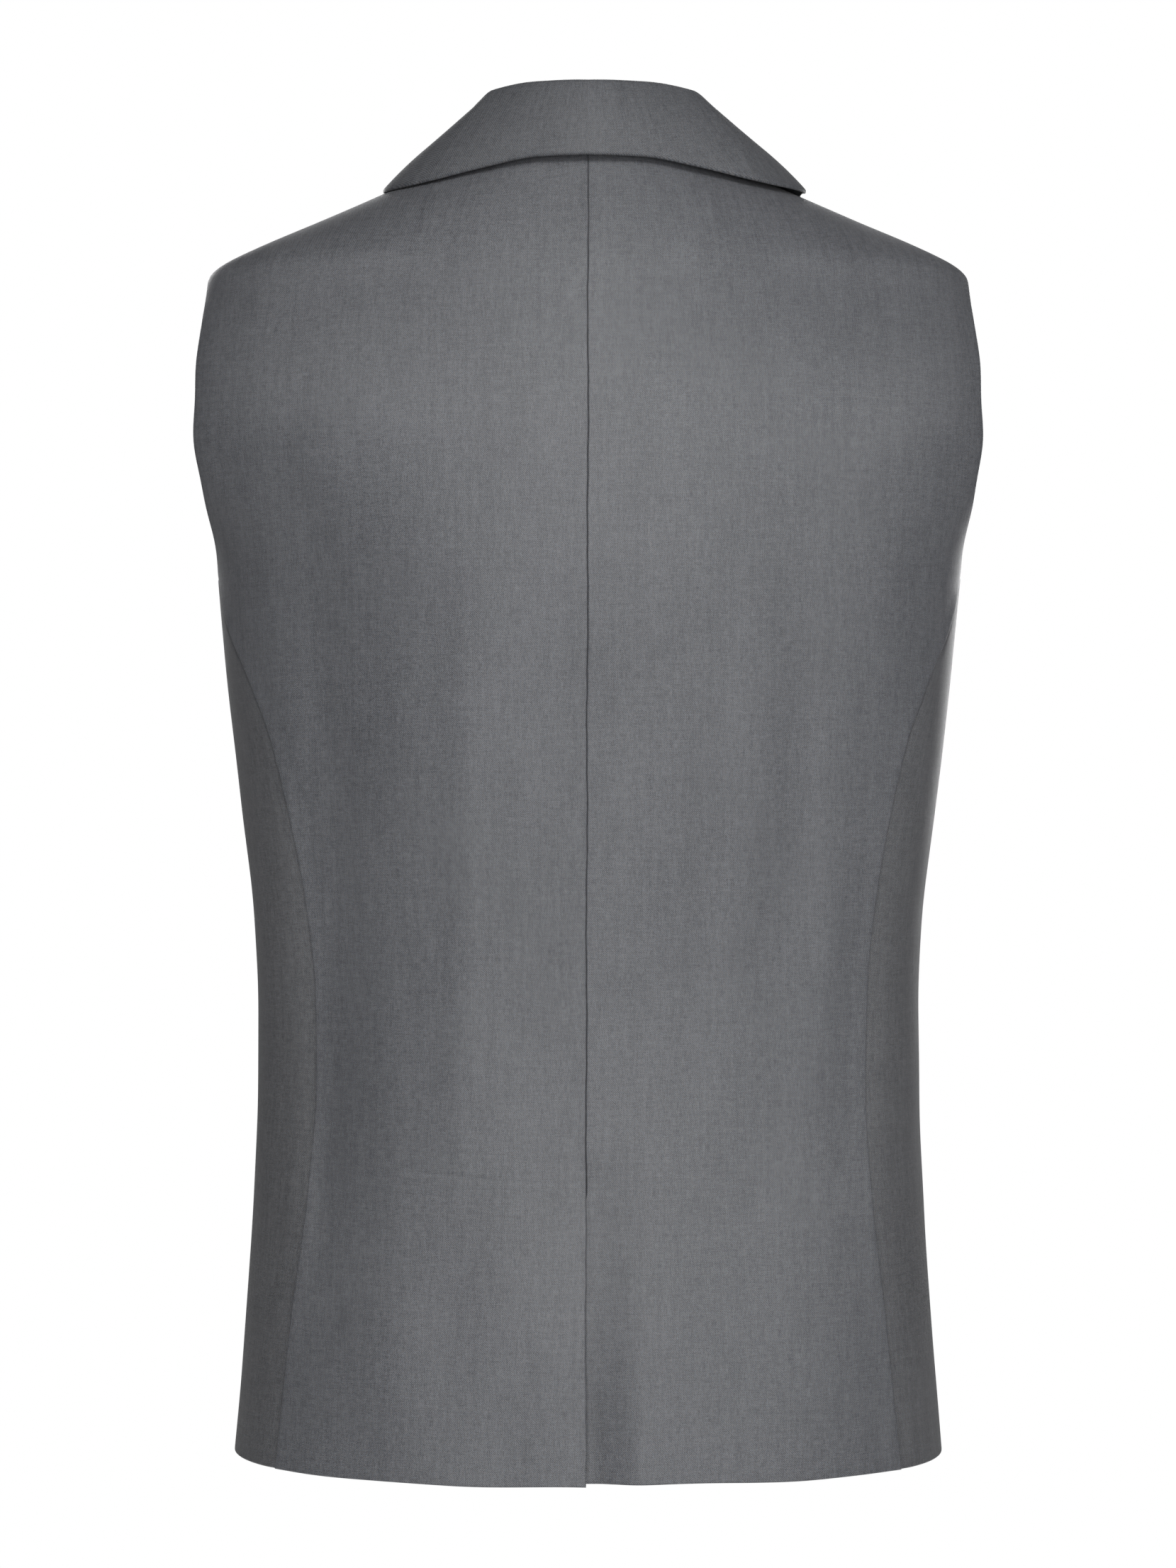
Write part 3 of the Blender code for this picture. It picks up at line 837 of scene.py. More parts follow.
class NodeBoard:
    """Small helper that adds and links the nodes of one material."""

    def __init__(self, name: str) -> None:
        """Start a material with an empty board.

        Args:
            name: the material's name.
        """
        self.material = bpy.data.materials.new(name)
        self.material.use_nodes = True
        self.tree = self.material.node_tree
        self.shader = self.tree.nodes["Principled BSDF"]

    def node(self, kind: str, **settings: object) -> bpy.types.Node:
        """Add a node and set its properties.

        Args:
            kind: the node's type.
            **settings: properties by name.

        Returns:
            The node.
        """
        node = self.tree.nodes.new(kind)
        for key, value in settings.items():
            setattr(node, key, value)
        return node

    def link(self, source: Socket, target: Socket) -> None:
        """Link two sockets."""
        self.tree.links.new(source, target)

    def drive(self, name: str, source: Socket) -> None:
        """Feed one of the shader's inputs from a socket."""
        self.link(source, self.shader.inputs[name])

    def fix(self, **values: float) -> None:
        """Set inputs of the shader to constants, named with underscores for spaces."""
        for name, value in values.items():
            self.shader.inputs[name.replace("_", " ")].default_value = value

    def math(self, operation: str, first: object, second: object = 0.0) -> Socket:
        """Add a maths node.

        Args:
            operation: the node's operation.
            first, second: sockets or numbers.

        Returns:
            The result's socket.
        """
        node = self.node("ShaderNodeMath", operation=operation)
        for socket, value in zip(node.inputs, (first, second)):
            if isinstance(value, bpy.types.NodeSocket):
                self.link(value, socket)
            else:
                socket.default_value = value
        return node.outputs[0]

    def scaled(self, source: Socket, factor: float) -> Socket:
        """A socket's value times a number."""
        return self.math("MULTIPLY", source, factor)

    def sum_of(self, first: Socket, *others: object) -> Socket:
        """Add sockets and numbers in the order given.

        Args:
            first: the first socket.
            *others: more sockets or numbers.

        Returns:
            The sum's socket.
        """
        total = first
        for other in others:
            total = self.math("ADD", total, other)
        return total

    def stretched_noise(self, source: Socket, scale: tuple[float, float], detail: float,
                        roughness: float = 0.6) -> Socket:
        """Noise with a scale of its own along and across the cloth.

        Args:
            source: cloth coordinates in metres.
            scale: features for each metre across and up.
            detail: octaves of detail.
            roughness: strength of the fine octaves.

        Returns:
            The noise's value, around a half.
        """
        mapping = self.node("ShaderNodeMapping")
        mapping.inputs["Scale"].default_value = (scale[0], scale[1], 1.0)
        self.link(source, mapping.inputs["Vector"])
        noise = self.node("ShaderNodeTexNoise", noise_dimensions="2D")
        noise.inputs["Scale"].default_value = 1.0
        noise.inputs["Detail"].default_value = detail
        noise.inputs["Roughness"].default_value = roughness
        self.link(mapping.outputs["Vector"], noise.inputs["Vector"])
        return noise.outputs[0]

    def ramp(self, source: Socket, low: tuple[float, Color], high: tuple[float, Color]) -> Socket:
        """Colour that runs from one stop to another.

        Args:
            source: value to read the ramp with.
            low, high: the stops, each a position and a colour.

        Returns:
            The colour's socket.
        """
        node = self.node("ShaderNodeValToRGB")
        for element, (position, color) in zip(node.color_ramp.elements, (low, high)):
            element.position = position
            element.color = (*color, 1)
        self.link(source, node.inputs[0])
        return node.outputs[0]

    def bump(self, height: Socket, strength: float, distance: float) -> None:
        """Give the shader a fine relief.

        Args:
            height: value that raises the surface.
            strength: share of the relief that is felt.
            distance: metres for each unit of height.
        """
        node = self.node("ShaderNodeBump")
        node.inputs["Strength"].default_value = strength
        node.inputs["Distance"].default_value = distance
        self.link(height, node.inputs["Height"])
        self.drive("Normal", node.outputs[0])


@dataclass(frozen=True)
class Yarn:
    """One kind of unevenness in the cloth's tone.

    Attributes:
        scale: features for each metre across and up.
        detail: octaves.
        roughness: strength of the fine octaves.
        share: how strongly it changes the tone.
    """

    scale: tuple[float, float]
    detail: int
    roughness: float
    share: float


WARP = Yarn((1700, 230), 3, 0.7, 0.88)
WEFT = Yarn((210, 1700), 3, 0.7, 0.74)
FLECK = Yarn((2100, 2100), 2, 0.8, 1.70)
PATCH = Yarn((26, 9), 3, 0.6, 0.24)
STREAK = Yarn((190, 5), 2, 0.6, 0.14)
SLUB = Yarn((430, 48), 2, 0.6, 0.34)
CROSS_SLUB = Yarn((40, 520), 2, 0.6, 0.24)


@dataclass(frozen=True)
class Suiting:
    """Fine grey worsted twill: heathered yarns, a diagonal rib and a soft lustre.

    Attributes:
        name: the material's name.
        dark, light: colours of the darkest and the lightest yarns.
        warm, cool: tints that vary from yarn to yarn.
        heather: features of those tints for each metre, across and up.
        rib, rib_wander: spacing of the twill's ribs and how far they stray, in metres.
        stray: features of that straying for each metre, across and up.
        rib_share, rib_relief: how strongly a rib changes the tone and the relief.
        dark_stop, light_stop, warm_stop, cool_stop: where the colours stand on their ramps.
        roughness, roughness_spread: the cloth's roughness and how much it varies.
        edge_shade_tone, pressed_roughness: painted shade that darkens the tone along edges and seams,
            and how much smoother a pressed edge is.
        specular, sheen, sheen_roughness: the lustre.
        weft_relief, relief, relief_height: the weave's relief.
    """

    name: str
    dark: Color = (0.038, 0.0397, 0.0472)
    light: Color = (0.147, 0.1515, 0.165)
    warm: Color = (1.0, 0.955, 0.905)
    cool: Color = (0.955, 0.985, 1.0)
    heather: tuple[float, float] = (900, 1300)
    rib: float = 0.00105
    rib_wander: float = 0.0011
    stray: tuple[float, float] = (160, 160)
    rib_share: float = 0.26
    rib_relief: float = 0.35
    dark_stop: float = 0.05
    light_stop: float = 0.95
    warm_stop: float = 0.40
    cool_stop: float = 0.60
    roughness: float = 0.50
    roughness_spread: float = 0.22
    # Painted shade: the tone drops along edges and seams.
    edge_shade_tone: float = -0.05
    pressed_roughness: float = 0.06
    specular: float = 0.50
    sheen: float = 0.06
    sheen_roughness: float = 0.45
    weft_relief: float = 0.8
    relief: float = 0.42
    relief_height: float = 0.00013

    def twill(self, board: NodeBoard, cloth: Socket) -> Socket:
        """The diagonal rib.

        Args:
            board: the material's board.
            cloth: cloth coordinates in metres.

        Returns:
            Its height, from -1 to 1.
        """
        split = board.node("ShaderNodeSeparateXYZ")
        board.link(cloth, split.inputs[0])
        slant = board.math("SUBTRACT", split.outputs[0], split.outputs[1])
        wander = board.scaled(board.stretched_noise(cloth, self.stray, 2), self.rib_wander)
        phase = board.scaled(board.sum_of(slant, wander), 2 * math.pi / self.rib)
        return board.math("SINE", phase)

    def color(self, board: NodeBoard, cloth: Socket, tone: Socket) -> Socket:
        """The cloth's colour.

        Args:
            board: the material's board.
            cloth: cloth coordinates in metres.
            tone: lightness, from 0 to 1.

        Returns:
            The colour's socket.
        """
        shade = board.ramp(tone, (self.dark_stop, self.dark), (self.light_stop, self.light))
        heather = board.stretched_noise(cloth, self.heather, 2, 0.7)
        tint = board.ramp(heather, (self.warm_stop, self.warm), (self.cool_stop, self.cool))
        dyed = board.node("ShaderNodeMix", data_type="RGBA", blend_type="MULTIPLY")
        dyed.inputs["Factor"].default_value = 1.0
        board.link(shade, dyed.inputs["A"])
        board.link(tint, dyed.inputs["B"])
        return dyed.outputs["Result"]

    def build(self) -> bpy.types.Material:
        """Make the cloth's material.

        Returns:
            The material.
        """
        board = NodeBoard(self.name)
        cloth = board.node("ShaderNodeUVMap", uv_map="cloth").outputs[0]
        pressed = board.node("ShaderNodeAttribute", attribute_name="pressed").outputs["Fac"]
        rib = self.twill(board, cloth)
        tone = board.scaled(rib, self.rib_share)
        noises = {}
        for yarn in (WARP, WEFT, FLECK, PATCH, STREAK, SLUB, CROSS_SLUB):
            noise = board.stretched_noise(cloth, yarn.scale, yarn.detail, yarn.roughness)
            centred = board.math("SUBTRACT", noise, 0.5)
            tone = board.sum_of(tone, board.scaled(centred, yarn.share))
            noises[yarn] = noise
        # Painted shade: the cloth is darker along every edge and seam.
        tone = board.sum_of(tone, 0.5, board.scaled(pressed, self.edge_shade_tone))
        board.drive("Base Color", self.color(board, cloth, tone))
        warp, weft = noises[WARP], noises[WEFT]
        spread = board.scaled(board.math("SUBTRACT", weft, 0.5), self.roughness_spread)
        smoother = board.scaled(pressed, self.pressed_roughness)
        rough = board.math("SUBTRACT", board.sum_of(spread, self.roughness), smoother)
        board.drive("Roughness", rough)
        board.fix(Specular_IOR_Level=self.specular, Sheen_Weight=self.sheen,
                  Sheen_Roughness=self.sheen_roughness, Metallic=0.0)
        yarns = board.sum_of(warp, board.scaled(weft, self.weft_relief))
        board.bump(board.sum_of(board.scaled(rib, self.rib_relief), yarns), self.relief,
                   self.relief_height)
        return board.material


@dataclass(frozen=True)
class HornFinish:
    """Dark polished horn with faint cloudy streaks.

    Attributes:
        name: the material's name.
        dark, light: colours of the horn and of its streaks.
        dark_stop, light_stop: where they stand on the ramp.
        cloud, grain: features for each metre, across and along.
        cloud_share, grain_share: how strongly each changes the tone.
        roughness, roughness_spread: the polish and how much it varies.
        relief, relief_height: the grain's relief.
    """

    name: str = "horn"
    dark: Color = (0.014, 0.014, 0.016)
    light: Color = (0.070, 0.068, 0.070)
    dark_stop: float = 0.35
    light_stop: float = 0.72
    cloud: tuple[float, float] = (60, 240)
    grain: tuple[float, float] = (700, 2400)
    cloud_share: float = 0.75
    grain_share: float = 0.25
    roughness: float = 0.22
    roughness_spread: float = 0.16
    relief: float = 0.15
    relief_height: float = 0.0001

    def build(self) -> bpy.types.Material:
        """Make the buttons' material.

        Returns:
            The material.
        """
        board = NodeBoard(self.name)
        place = board.node("ShaderNodeTexCoord").outputs["Object"]
        cloud = board.stretched_noise(place, self.cloud, 4)
        grain = board.stretched_noise(place, self.grain, 2)
        mixed = board.sum_of(board.scaled(cloud, self.cloud_share),
                             board.scaled(grain, self.grain_share))
        board.drive("Base Color", board.ramp(mixed, (self.dark_stop, self.dark),
                                             (self.light_stop, self.light)))
        rough = board.sum_of(board.scaled(grain, self.roughness_spread), self.roughness)
        board.drive("Roughness", rough)
        board.bump(grain, self.relief, self.relief_height)
        return board.material


@dataclass(frozen=True)
class ThreadFinish:
    """Twisted dark grey sewing thread.

    Attributes:
        name: the material's name.
        color: its middle colour.
        dark_share, light_share: how dark and how light its twist goes.
        dark_stop, light_stop: where these stand on the ramp.
        twist: features for each metre.
        roughness, relief, relief_height: its surface.
    """

    name: str = "thread"
    color: Color = (0.085, 0.087, 0.095)
    dark_share: float = 0.6
    light_share: float = 1.4
    dark_stop: float = 0.3
    light_stop: float = 0.7
    twist: tuple[float, float] = (2600, 2600)
    roughness: float = 0.62
    relief: float = 0.4
    relief_height: float = 0.0001

    def build(self) -> bpy.types.Material:
        """Make the thread's material.

        Returns:
            The material.
        """
        board = NodeBoard(self.name)
        place = board.node("ShaderNodeTexCoord").outputs["Object"]
        twist = board.stretched_noise(place, self.twist, 2)
        dark = tuple(part * self.dark_share for part in self.color)
        light = tuple(part * self.light_share for part in self.color)
        shade = board.ramp(twist, (self.dark_stop, dark), (self.light_stop, light))
        board.drive("Base Color", shade)
        board.fix(Roughness=self.roughness)
        board.bump(twist, self.relief, self.relief_height)
        return board.material


@dataclass(frozen=True)
class Wardrobe:
    """The materials that the pieces share."""

    suiting: bpy.types.Material
    # Darker copy of the suiting for the side panels: painted shade, as they turn away from the light.
    side_suiting: bpy.types.Material
    # Darker copy of the suiting for the collar: painted shade, as its leaf faces upwards, away from the
    # light.
    collar_cloth: bpy.types.Material
    horn: bpy.types.Material
    thread: bpy.types.Material


@dataclass(frozen=True)
class Pattern:
    """Flat cut of a cloth piece: the rectangle it is cut from and its own area."""

    width: float
    length: float
    area: float


def dress(piece: bpy.types.Object, node: str, material: bpy.types.Material) -> None:
    """Give a piece its material, hang it from the root and hide the solid that it replaces.
        material: its finish.
    """
    piece.data.materials.append(material)
    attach(piece, "root")
    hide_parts(node)


def lay_sheet(shell: Shell, material: bpy.types.Material) -> bpy.types.Object:
    """Args:
        shell: the cloth's shell.
        material: its finish.

    Returns:
        The piece.
    """
    piece = shell.build()
    dress(piece, shell.name, material)
    return piece


def ring_rows(z: Array, start: Array, end: Array, count: int) -> tuple[Array, Array]:
    """Ring angles and distances of the columns of each row, evenly spaced along the ring.

    Args:
        z: heights of the rows.
        start, end: ring angles of both ends of each row.
        count: number of even steps.

    Returns:
        Angles and distances from the row's start, rows by columns.
    """
    samples = 220
    share = np.linspace(0, 1, samples)
    dense = start[:, None] + (end - start)[:, None] * share
    points = FORM.point(dense, z[:, None])
    steps = np.linalg.norm(np.diff(points, axis=1), axis=-1)
    lengths = np.concatenate([np.zeros((len(z), 1)), np.cumsum(steps, axis=1)], axis=1)
    angles, distances = [], []
    for row in range(len(z)):
        where = spread_distances(lengths[row, -1], count)
        distances.append(where)
        angles.append(np.interp(where, lengths[row], dense[row]))
    return np.array(angles), np.array(distances)


def row_heights(top: float, pitch: float,
                fine: Sequence[tuple[float, float, float]] = ()) -> Array:
    """Heights of a panel's rows from the hem up, with fine steps at the hem and the top.

    Args:
        top: height of the last row.
        pitch: usual distance between rows.
        fine: bands with a pitch of their own: low, high, pitch.

    Returns:
        Rising heights.
    """
    heights = [CUT.hem + step for step in EDGE_STEPS]
    last = top - EDGE_STEPS[-1]
    least_share = 0.3
    z = heights[-1]
    while z < last:
        step = pitch
        for low, high, band_pitch in fine:
            if low <= z < high:
                step = band_pitch
        z += step
        if z < last - least_share * step:
            heights.append(z)
    heights.extend(top - step for step in reversed(EDGE_STEPS))
    return np.array(heights)


@dataclass
class Panel:
    """A cloth panel of one side, with its finish and its flat cut."""

    side: Side
    material: bpy.types.Material
    pattern: Pattern
    part: ClassVar[str] = "panel"
    turned_side: ClassVar[Side] = Side.LEFT

    @property
    def name(self) -> str:
        """Name of the panel's solid."""
        return f"{self.part}_{self.side.name.lower()}"

    def on_own_side(self, points: Array) -> tuple[Array, Array]:
        """Move points of the +X half to the panel's side.

        Args:
            points: points on the form.

        Returns:
            The points and the form's normals there.
        """
        normal = FORM.normal(points)
        points[..., 0] *= self.side.value
        normal[..., 0] *= self.side.value
        return points, normal

    def lay(self, outer: Array, normal: Array, cloth: Array, keep: Array | None = None,
            held: str = "hung", rests_on: Sequence[str] = ()) -> bpy.types.Object:
        """Make the panel's piece from its visible face.

        Args:
            outer: points of the visible face.
            normal: outward normals there.
            cloth: flat cloth coordinates.
            keep: true for each grid cell that is cloth.
            held: how it is held; not used.
            rests_on: solids that it lies on; not used.

        Returns:
            The piece.
        """
        shell = Shell(self.name, outer, outer - normal * CUT.wall, cloth, keep,
                      mirrored=self.side is self.turned_side)
        return lay_sheet(shell, self.material)


@dataclass
class BackPanel(Panel):
    """One half of the back, from the centre seam to the side seam, armhole and shoulder.

    Attributes:
        pitch, columns, lap_steps: fineness of the grid down, across and over the underlap.
        hem_lift: how much higher or lower this half's hem hangs at the centre.
        hem_wave, hem_wave_number, hem_wave_phase, hem_run: wave of the hem and how far up it goes.
        neck_run: drop over which the rise at the back neck grows.
        press_band, shoulder_band: heights and pitches of the finer rows.
        seam_reach: distance over which the seam's wander fades.
        pucker, pucker_reach, pucker_pitch: gathers of the stitches beside the centre seam.
        seam_ridge, seam_ridge_reach, seam_ridge_run: ridge of the turnings beside the side seam.
    """

    pitch: float = 0.0026
    columns: int = 70
    lap_steps: int = 14
    hem_lift: float = 0.0
    hem_wave: float = 0.0005
    hem_wave_number: float = 64
    hem_wave_phase: float = 1.0
    hem_run: float = 0.10
    neck_run: float = 0.060
    press_band: tuple[float, float, float] = (-0.534, -0.514, 0.0009)
    shoulder_band: tuple[float, float, float] = (-0.060, -0.002, 0.0011)
    seam_reach: float = 0.02
    pucker: float = 0.00012
    pucker_reach: float = 0.003
    pucker_pitch: float = 0.0062
    seam_ridge: float = 0.0008
    seam_ridge_reach: float = 0.006
    seam_ridge_run: float = 0.02
    part: ClassVar[str] = "back"

    def surface(self, angle: Array, base: Array, distance: Array) -> tuple[Array, Array]:
        """Visible face of the panel.

        Args:
            angle: ring angles.
            base: heights.
            distance: distances from the centre seam, negative on the underlap.

        Returns:
            Outer points, and the form's normals there.
        """
        points, normal = self.on_own_side(FORM.point(angle, base))
        points[..., 1] += left_turn(points)
        near_seam = np.exp(-np.abs(distance) / self.seam_reach)
        points[..., 0] += seam_wander(points[..., 2]) * near_seam
        x, z = points[..., 0], points[..., 2]
        height = crease_height(points) + vent_sink(x, z, self.side)
        gathers = np.sin(z * 2 * math.pi / self.pucker_pitch)
        gathers = gathers * self.pucker * np.exp(-np.abs(distance) / self.pucker_reach)
        height = height + np.where(z > CUT.vent_top, gathers, 0.0)
        to_side = (distance[:, -1:] - distance) / self.seam_ridge_reach
        below = ease((CUT.seam_top_back - z) / self.seam_ridge_run)
        height = height + self.seam_ridge * np.exp(-to_side**2) * below
        return points + normal * height[..., None], normal

    def underlap(self, z: Array, angle: Array, distance: Array) -> tuple[Array, Array, Array]:
        """Widen the rows past the centre line by the vent's underlap.

        Args:
            z: heights of the rows.
            angle, distance: ring angles and distances from the centre seam.

        Returns:
            The wider angles and distances, and which cells are cloth.
        """
        lap_x = spread_distances(CUT.vent_lap, self.lap_steps)[::-1][:-1]
        lap_angle = math.pi - FORM.angle_from_x(z[:, None], lap_x[None, :], False)
        angle = np.concatenate([lap_angle, angle], axis=1)
        distance = np.concatenate([np.tile(-lap_x, (len(z), 1)), distance], axis=1)
        keep = np.ones((len(z) - 1, angle.shape[1] - 1), bool)
        keep[z[1:] > CUT.vent_top, :len(lap_x)] = False
        return angle, distance, keep

    def build(self) -> bpy.types.Object:
        """Make the panel, with its cloth coordinates.

        Returns:
            The piece.
        """
        z = row_heights(0.0, self.pitch, (self.press_band, self.shoulder_band))
        start = np.full(len(z), math.pi / 2)
        angle, distance = ring_rows(z, start, FORM.back_edge(z), self.columns)
        keep = None
        if self.side is Side.RIGHT:
            angle, distance, keep = self.underlap(z, angle, distance)
        level = z[:, None]
        across = np.clip(distance / distance[:, -1:], 0, 1)
        centred = 1 - across**2
        lift = CUT.back_neck_rise * ease((level + self.neck_run) / self.neck_run) * centred
        wave = np.sin(distance * self.hem_wave_number + self.hem_wave_phase) * self.side.value
        near_hem = ease((CUT.hem + self.hem_run - level) / self.hem_run)
        hem = (self.hem_lift + self.hem_wave * wave) * centred * near_hem
        outer, normal = self.surface(angle, level + lift + hem, distance)
        cloth = np.stack([distance * self.side.value, np.broadcast_to(level, angle.shape)], axis=-1)
        return self.lay(outer, normal, cloth, keep)


@dataclass
class SidePanel(Panel):
    """Side panel below an armhole.

    Attributes:
        pitch, columns: fineness of the grid down and across.
        width: usual width of the panel, for its grid and its cloth coordinates.
        cloth_start: cloth coordinate of the side-back seam.
        bend_power: how late the rows bend towards the armhole's curve.
        seam_dip, seam_reach: how the cloth dips into its seams.
    """

    pitch: float = 0.0028
    columns: int = 36
    width: float = 0.125
    cloth_start: float = 0.150
    bend_power: float = 6
    seam_dip: float = 0.0008
    seam_reach: float = 0.005
    part: ClassVar[str] = "side"

    def top(self, across: Array) -> Array:
        """Height of the panel's top edge along the bottom of the armhole.

        Args:
            across: shares of the way from the back seam to the front seam.

        Returns:
            Heights at which those shares lie on the armhole's edge.
        """
        rounds, step = 30, 0.4
        bottom = SmoothCurve(*columns_of(ARMHOLE_BOTTOM))
        z = CUT.seam_top_back + (CUT.seam_top_front - CUT.seam_top_back) * across
        for _ in range(rounds):
            back = FORM.point(FORM.side_seam(z), z)[..., 1]
            y = back + (-FORM.side_front(z) - back) * across
            z = (1 - step) * z + step * bottom(y)
        return z

    def build(self) -> bpy.types.Object:
        """Make the panel, with its cloth coordinates.

        Returns:
            The piece.
        """
        rows = row_heights(CUT.seam_top_back, self.pitch)
        share = (rows - CUT.hem) / (CUT.seam_top_back - CUT.hem)
        across = spread_distances(self.width, self.columns) / self.width
        across, share = np.meshgrid(across, share)
        bent = share**self.bend_power
        z = rows[:, None] + bent * (self.top(across[0]) - CUT.seam_top_back)
        back, front = FORM.back_edge(z), FORM.front_edge(z)
        points, normal = self.on_own_side(FORM.point(back + (front - back) * across, z))
        points[..., 1] += left_turn(points)
        from_seam = np.minimum(across, 1 - across) * self.width / self.seam_reach
        height = crease_height(points) - self.seam_dip * np.exp(-from_seam**2)
        place = (self.cloth_start + across * self.width) * self.side.value
        return self.lay(points + normal * height[..., None], normal, np.stack([place, z], axis=-1))


@dataclass
class FrontPanel(Panel):
    """One front, from its lapped edge and roll line to the side seam, armhole and shoulder.

    Attributes:
        pitch, columns: fineness of the grid down and across.
        shoulder_band: heights and pitch of the finer rows.
    """

    pitch: float = 0.0030
    columns: int = 64
    shoulder_band: tuple[float, float, float] = (-0.060, -0.002, 0.0012)
    part: ClassVar[str] = "front"
    turned_side: ClassVar[Side] = Side.RIGHT

    def build(self) -> bpy.types.Object:
        """Make the panel, with its cloth coordinates.

        Returns:
            The piece.
        """
        z = row_heights(0.0, self.pitch, (self.shoulder_band,))
        inner_x = FORM.roll_line(z)
        near = FORM.angle_from_x(z, np.abs(inner_x), True)
        start = np.where(inner_x >= 0, -near, -math.pi + near)
        angle, distance = ring_rows(z, start, FORM.front_edge(z), self.columns)
        points, normal = self.on_own_side(FORM.point(angle, z[:, None]))
        height = crease_height(points) + front_sink(points[..., 0], points[..., 2], self.side)
        cloth = np.stack([(distance + inner_x[:, None]) * self.side.value,
                          np.broadcast_to(z[:, None], angle.shape)], axis=-1)
        return self.lay(points + normal * height[..., None], normal, cloth)


# Corner where the collar's and the lapel's seam meets the roll line, seen from the front.
GORGE = (0.063, -0.048)


@dataclass
class Lapel(Panel):
    """Turned-back lapel lying on its front, with a soft roll at the fold.

    Attributes:
        tip, bulge: the lapel's point, and the handle that bends its edge, seen from the front.
        foot: how far the edge starts beyond the roll line.
        lie: clearance above the front.
        length, width: usual length and width, for its grid and its cloth coordinates.
        belly, belly_power, belly_rate: how the lapel stands off between fold and edge.
        crease_share: how much of the front's creases it takes on.
        columns, rows: fineness of the grid across and along.
    """

    tip: tuple[float, float] = (0.110, -0.090)
    bulge: tuple[float, float] = (0.072, -0.190)
    foot: float = 0.003
    lie: float = 0.0009
    length: float = 0.20
    width: float = 0.06
    belly: float = 0.0022
    belly_power: float = 0.8
    belly_rate: float = 3
    crease_share: float = 0.6
    columns: int = 34
    rows: int = 84
    part: ClassVar[str] = "lapel"
    turned_side: ClassVar[Side] = Side.RIGHT

    def build(self) -> bpy.types.Object:
        """Make the lapel, with its cloth coordinates.

        Returns:
            The piece.
        """
        share = spread_distances(self.length, self.rows)[:, None, None] / self.length
        across = spread_distances(self.width, self.columns)[None, :, None] / self.width
        start = np.array([FORM.roll_line(np.array(CUT.lapel_start)), CUT.lapel_start])
        roll = start + (np.array(GORGE) - start) * share
        low = start + np.array([self.foot, 0.0])
        edge = (low * (1 - share) ** 2 + np.array(self.bulge) * 2 * share * (1 - share)
                + np.array(self.tip) * share**2)
        spot = roll + (edge - roll) * across
        points = FORM.chest(spot[..., 0], spot[..., 1])
        points[..., 0] *= self.side.value
        normal = FORM.normal(points)
        along, over = share[..., 0], across[..., 0]
        belly = self.belly * np.sin(math.pi * over) ** self.belly_power
        belly = belly * ease(along * self.belly_rate)
        crease = crease_height(points) * self.crease_share
        sink = front_sink(points[..., 0], points[..., 2], self.side)
        height = self.lie + CUT.wall + belly + crease + sink
        width = np.linalg.norm(edge - roll, axis=-1)
        cloth = np.stack([over * width, along * self.length + 0.0 * over], axis=-1)
        return self.lay(points + normal * height[..., None], normal, cloth, held="folded",
                        rests_on=[f"front_{self.side.name.lower()}"])


@dataclass(frozen=True)
class CollarSection:
    """Section of the collar at one place on the way round, in millimetres.

    Attributes:
        along: share of the way round: 0 is the centre back, 1 the shoulder, 2 the lapel.
        stand: height of the stand.
        lean: how far it leans towards the neck.
        drop: height of the leaf's edge on the back.
    """

    along: float
    stand: float
    lean: float
    drop: float


COLLAR_SECTIONS = (
    CollarSection(0.00, 31.0, 1.0, -3.0),
    CollarSection(0.20, 31.6, 1.5, -3.6),
    CollarSection(0.40, 32.6, 2.5, -8.5),
    CollarSection(0.55, 32.6, 3.4, -12.5),
    CollarSection(0.65, 29.0, 4.2, -13.6),
    CollarSection(0.80, 22.0, 5.0, -13.3),
    CollarSection(1.00, 15.5, 5.0, -11.3),
    CollarSection(1.30, 12.0, 4.0, 0.0),
    CollarSection(1.70, 8.0, 2.0, 0.0),
    CollarSection(2.00, 4.0, 0.0, 0.0),
)


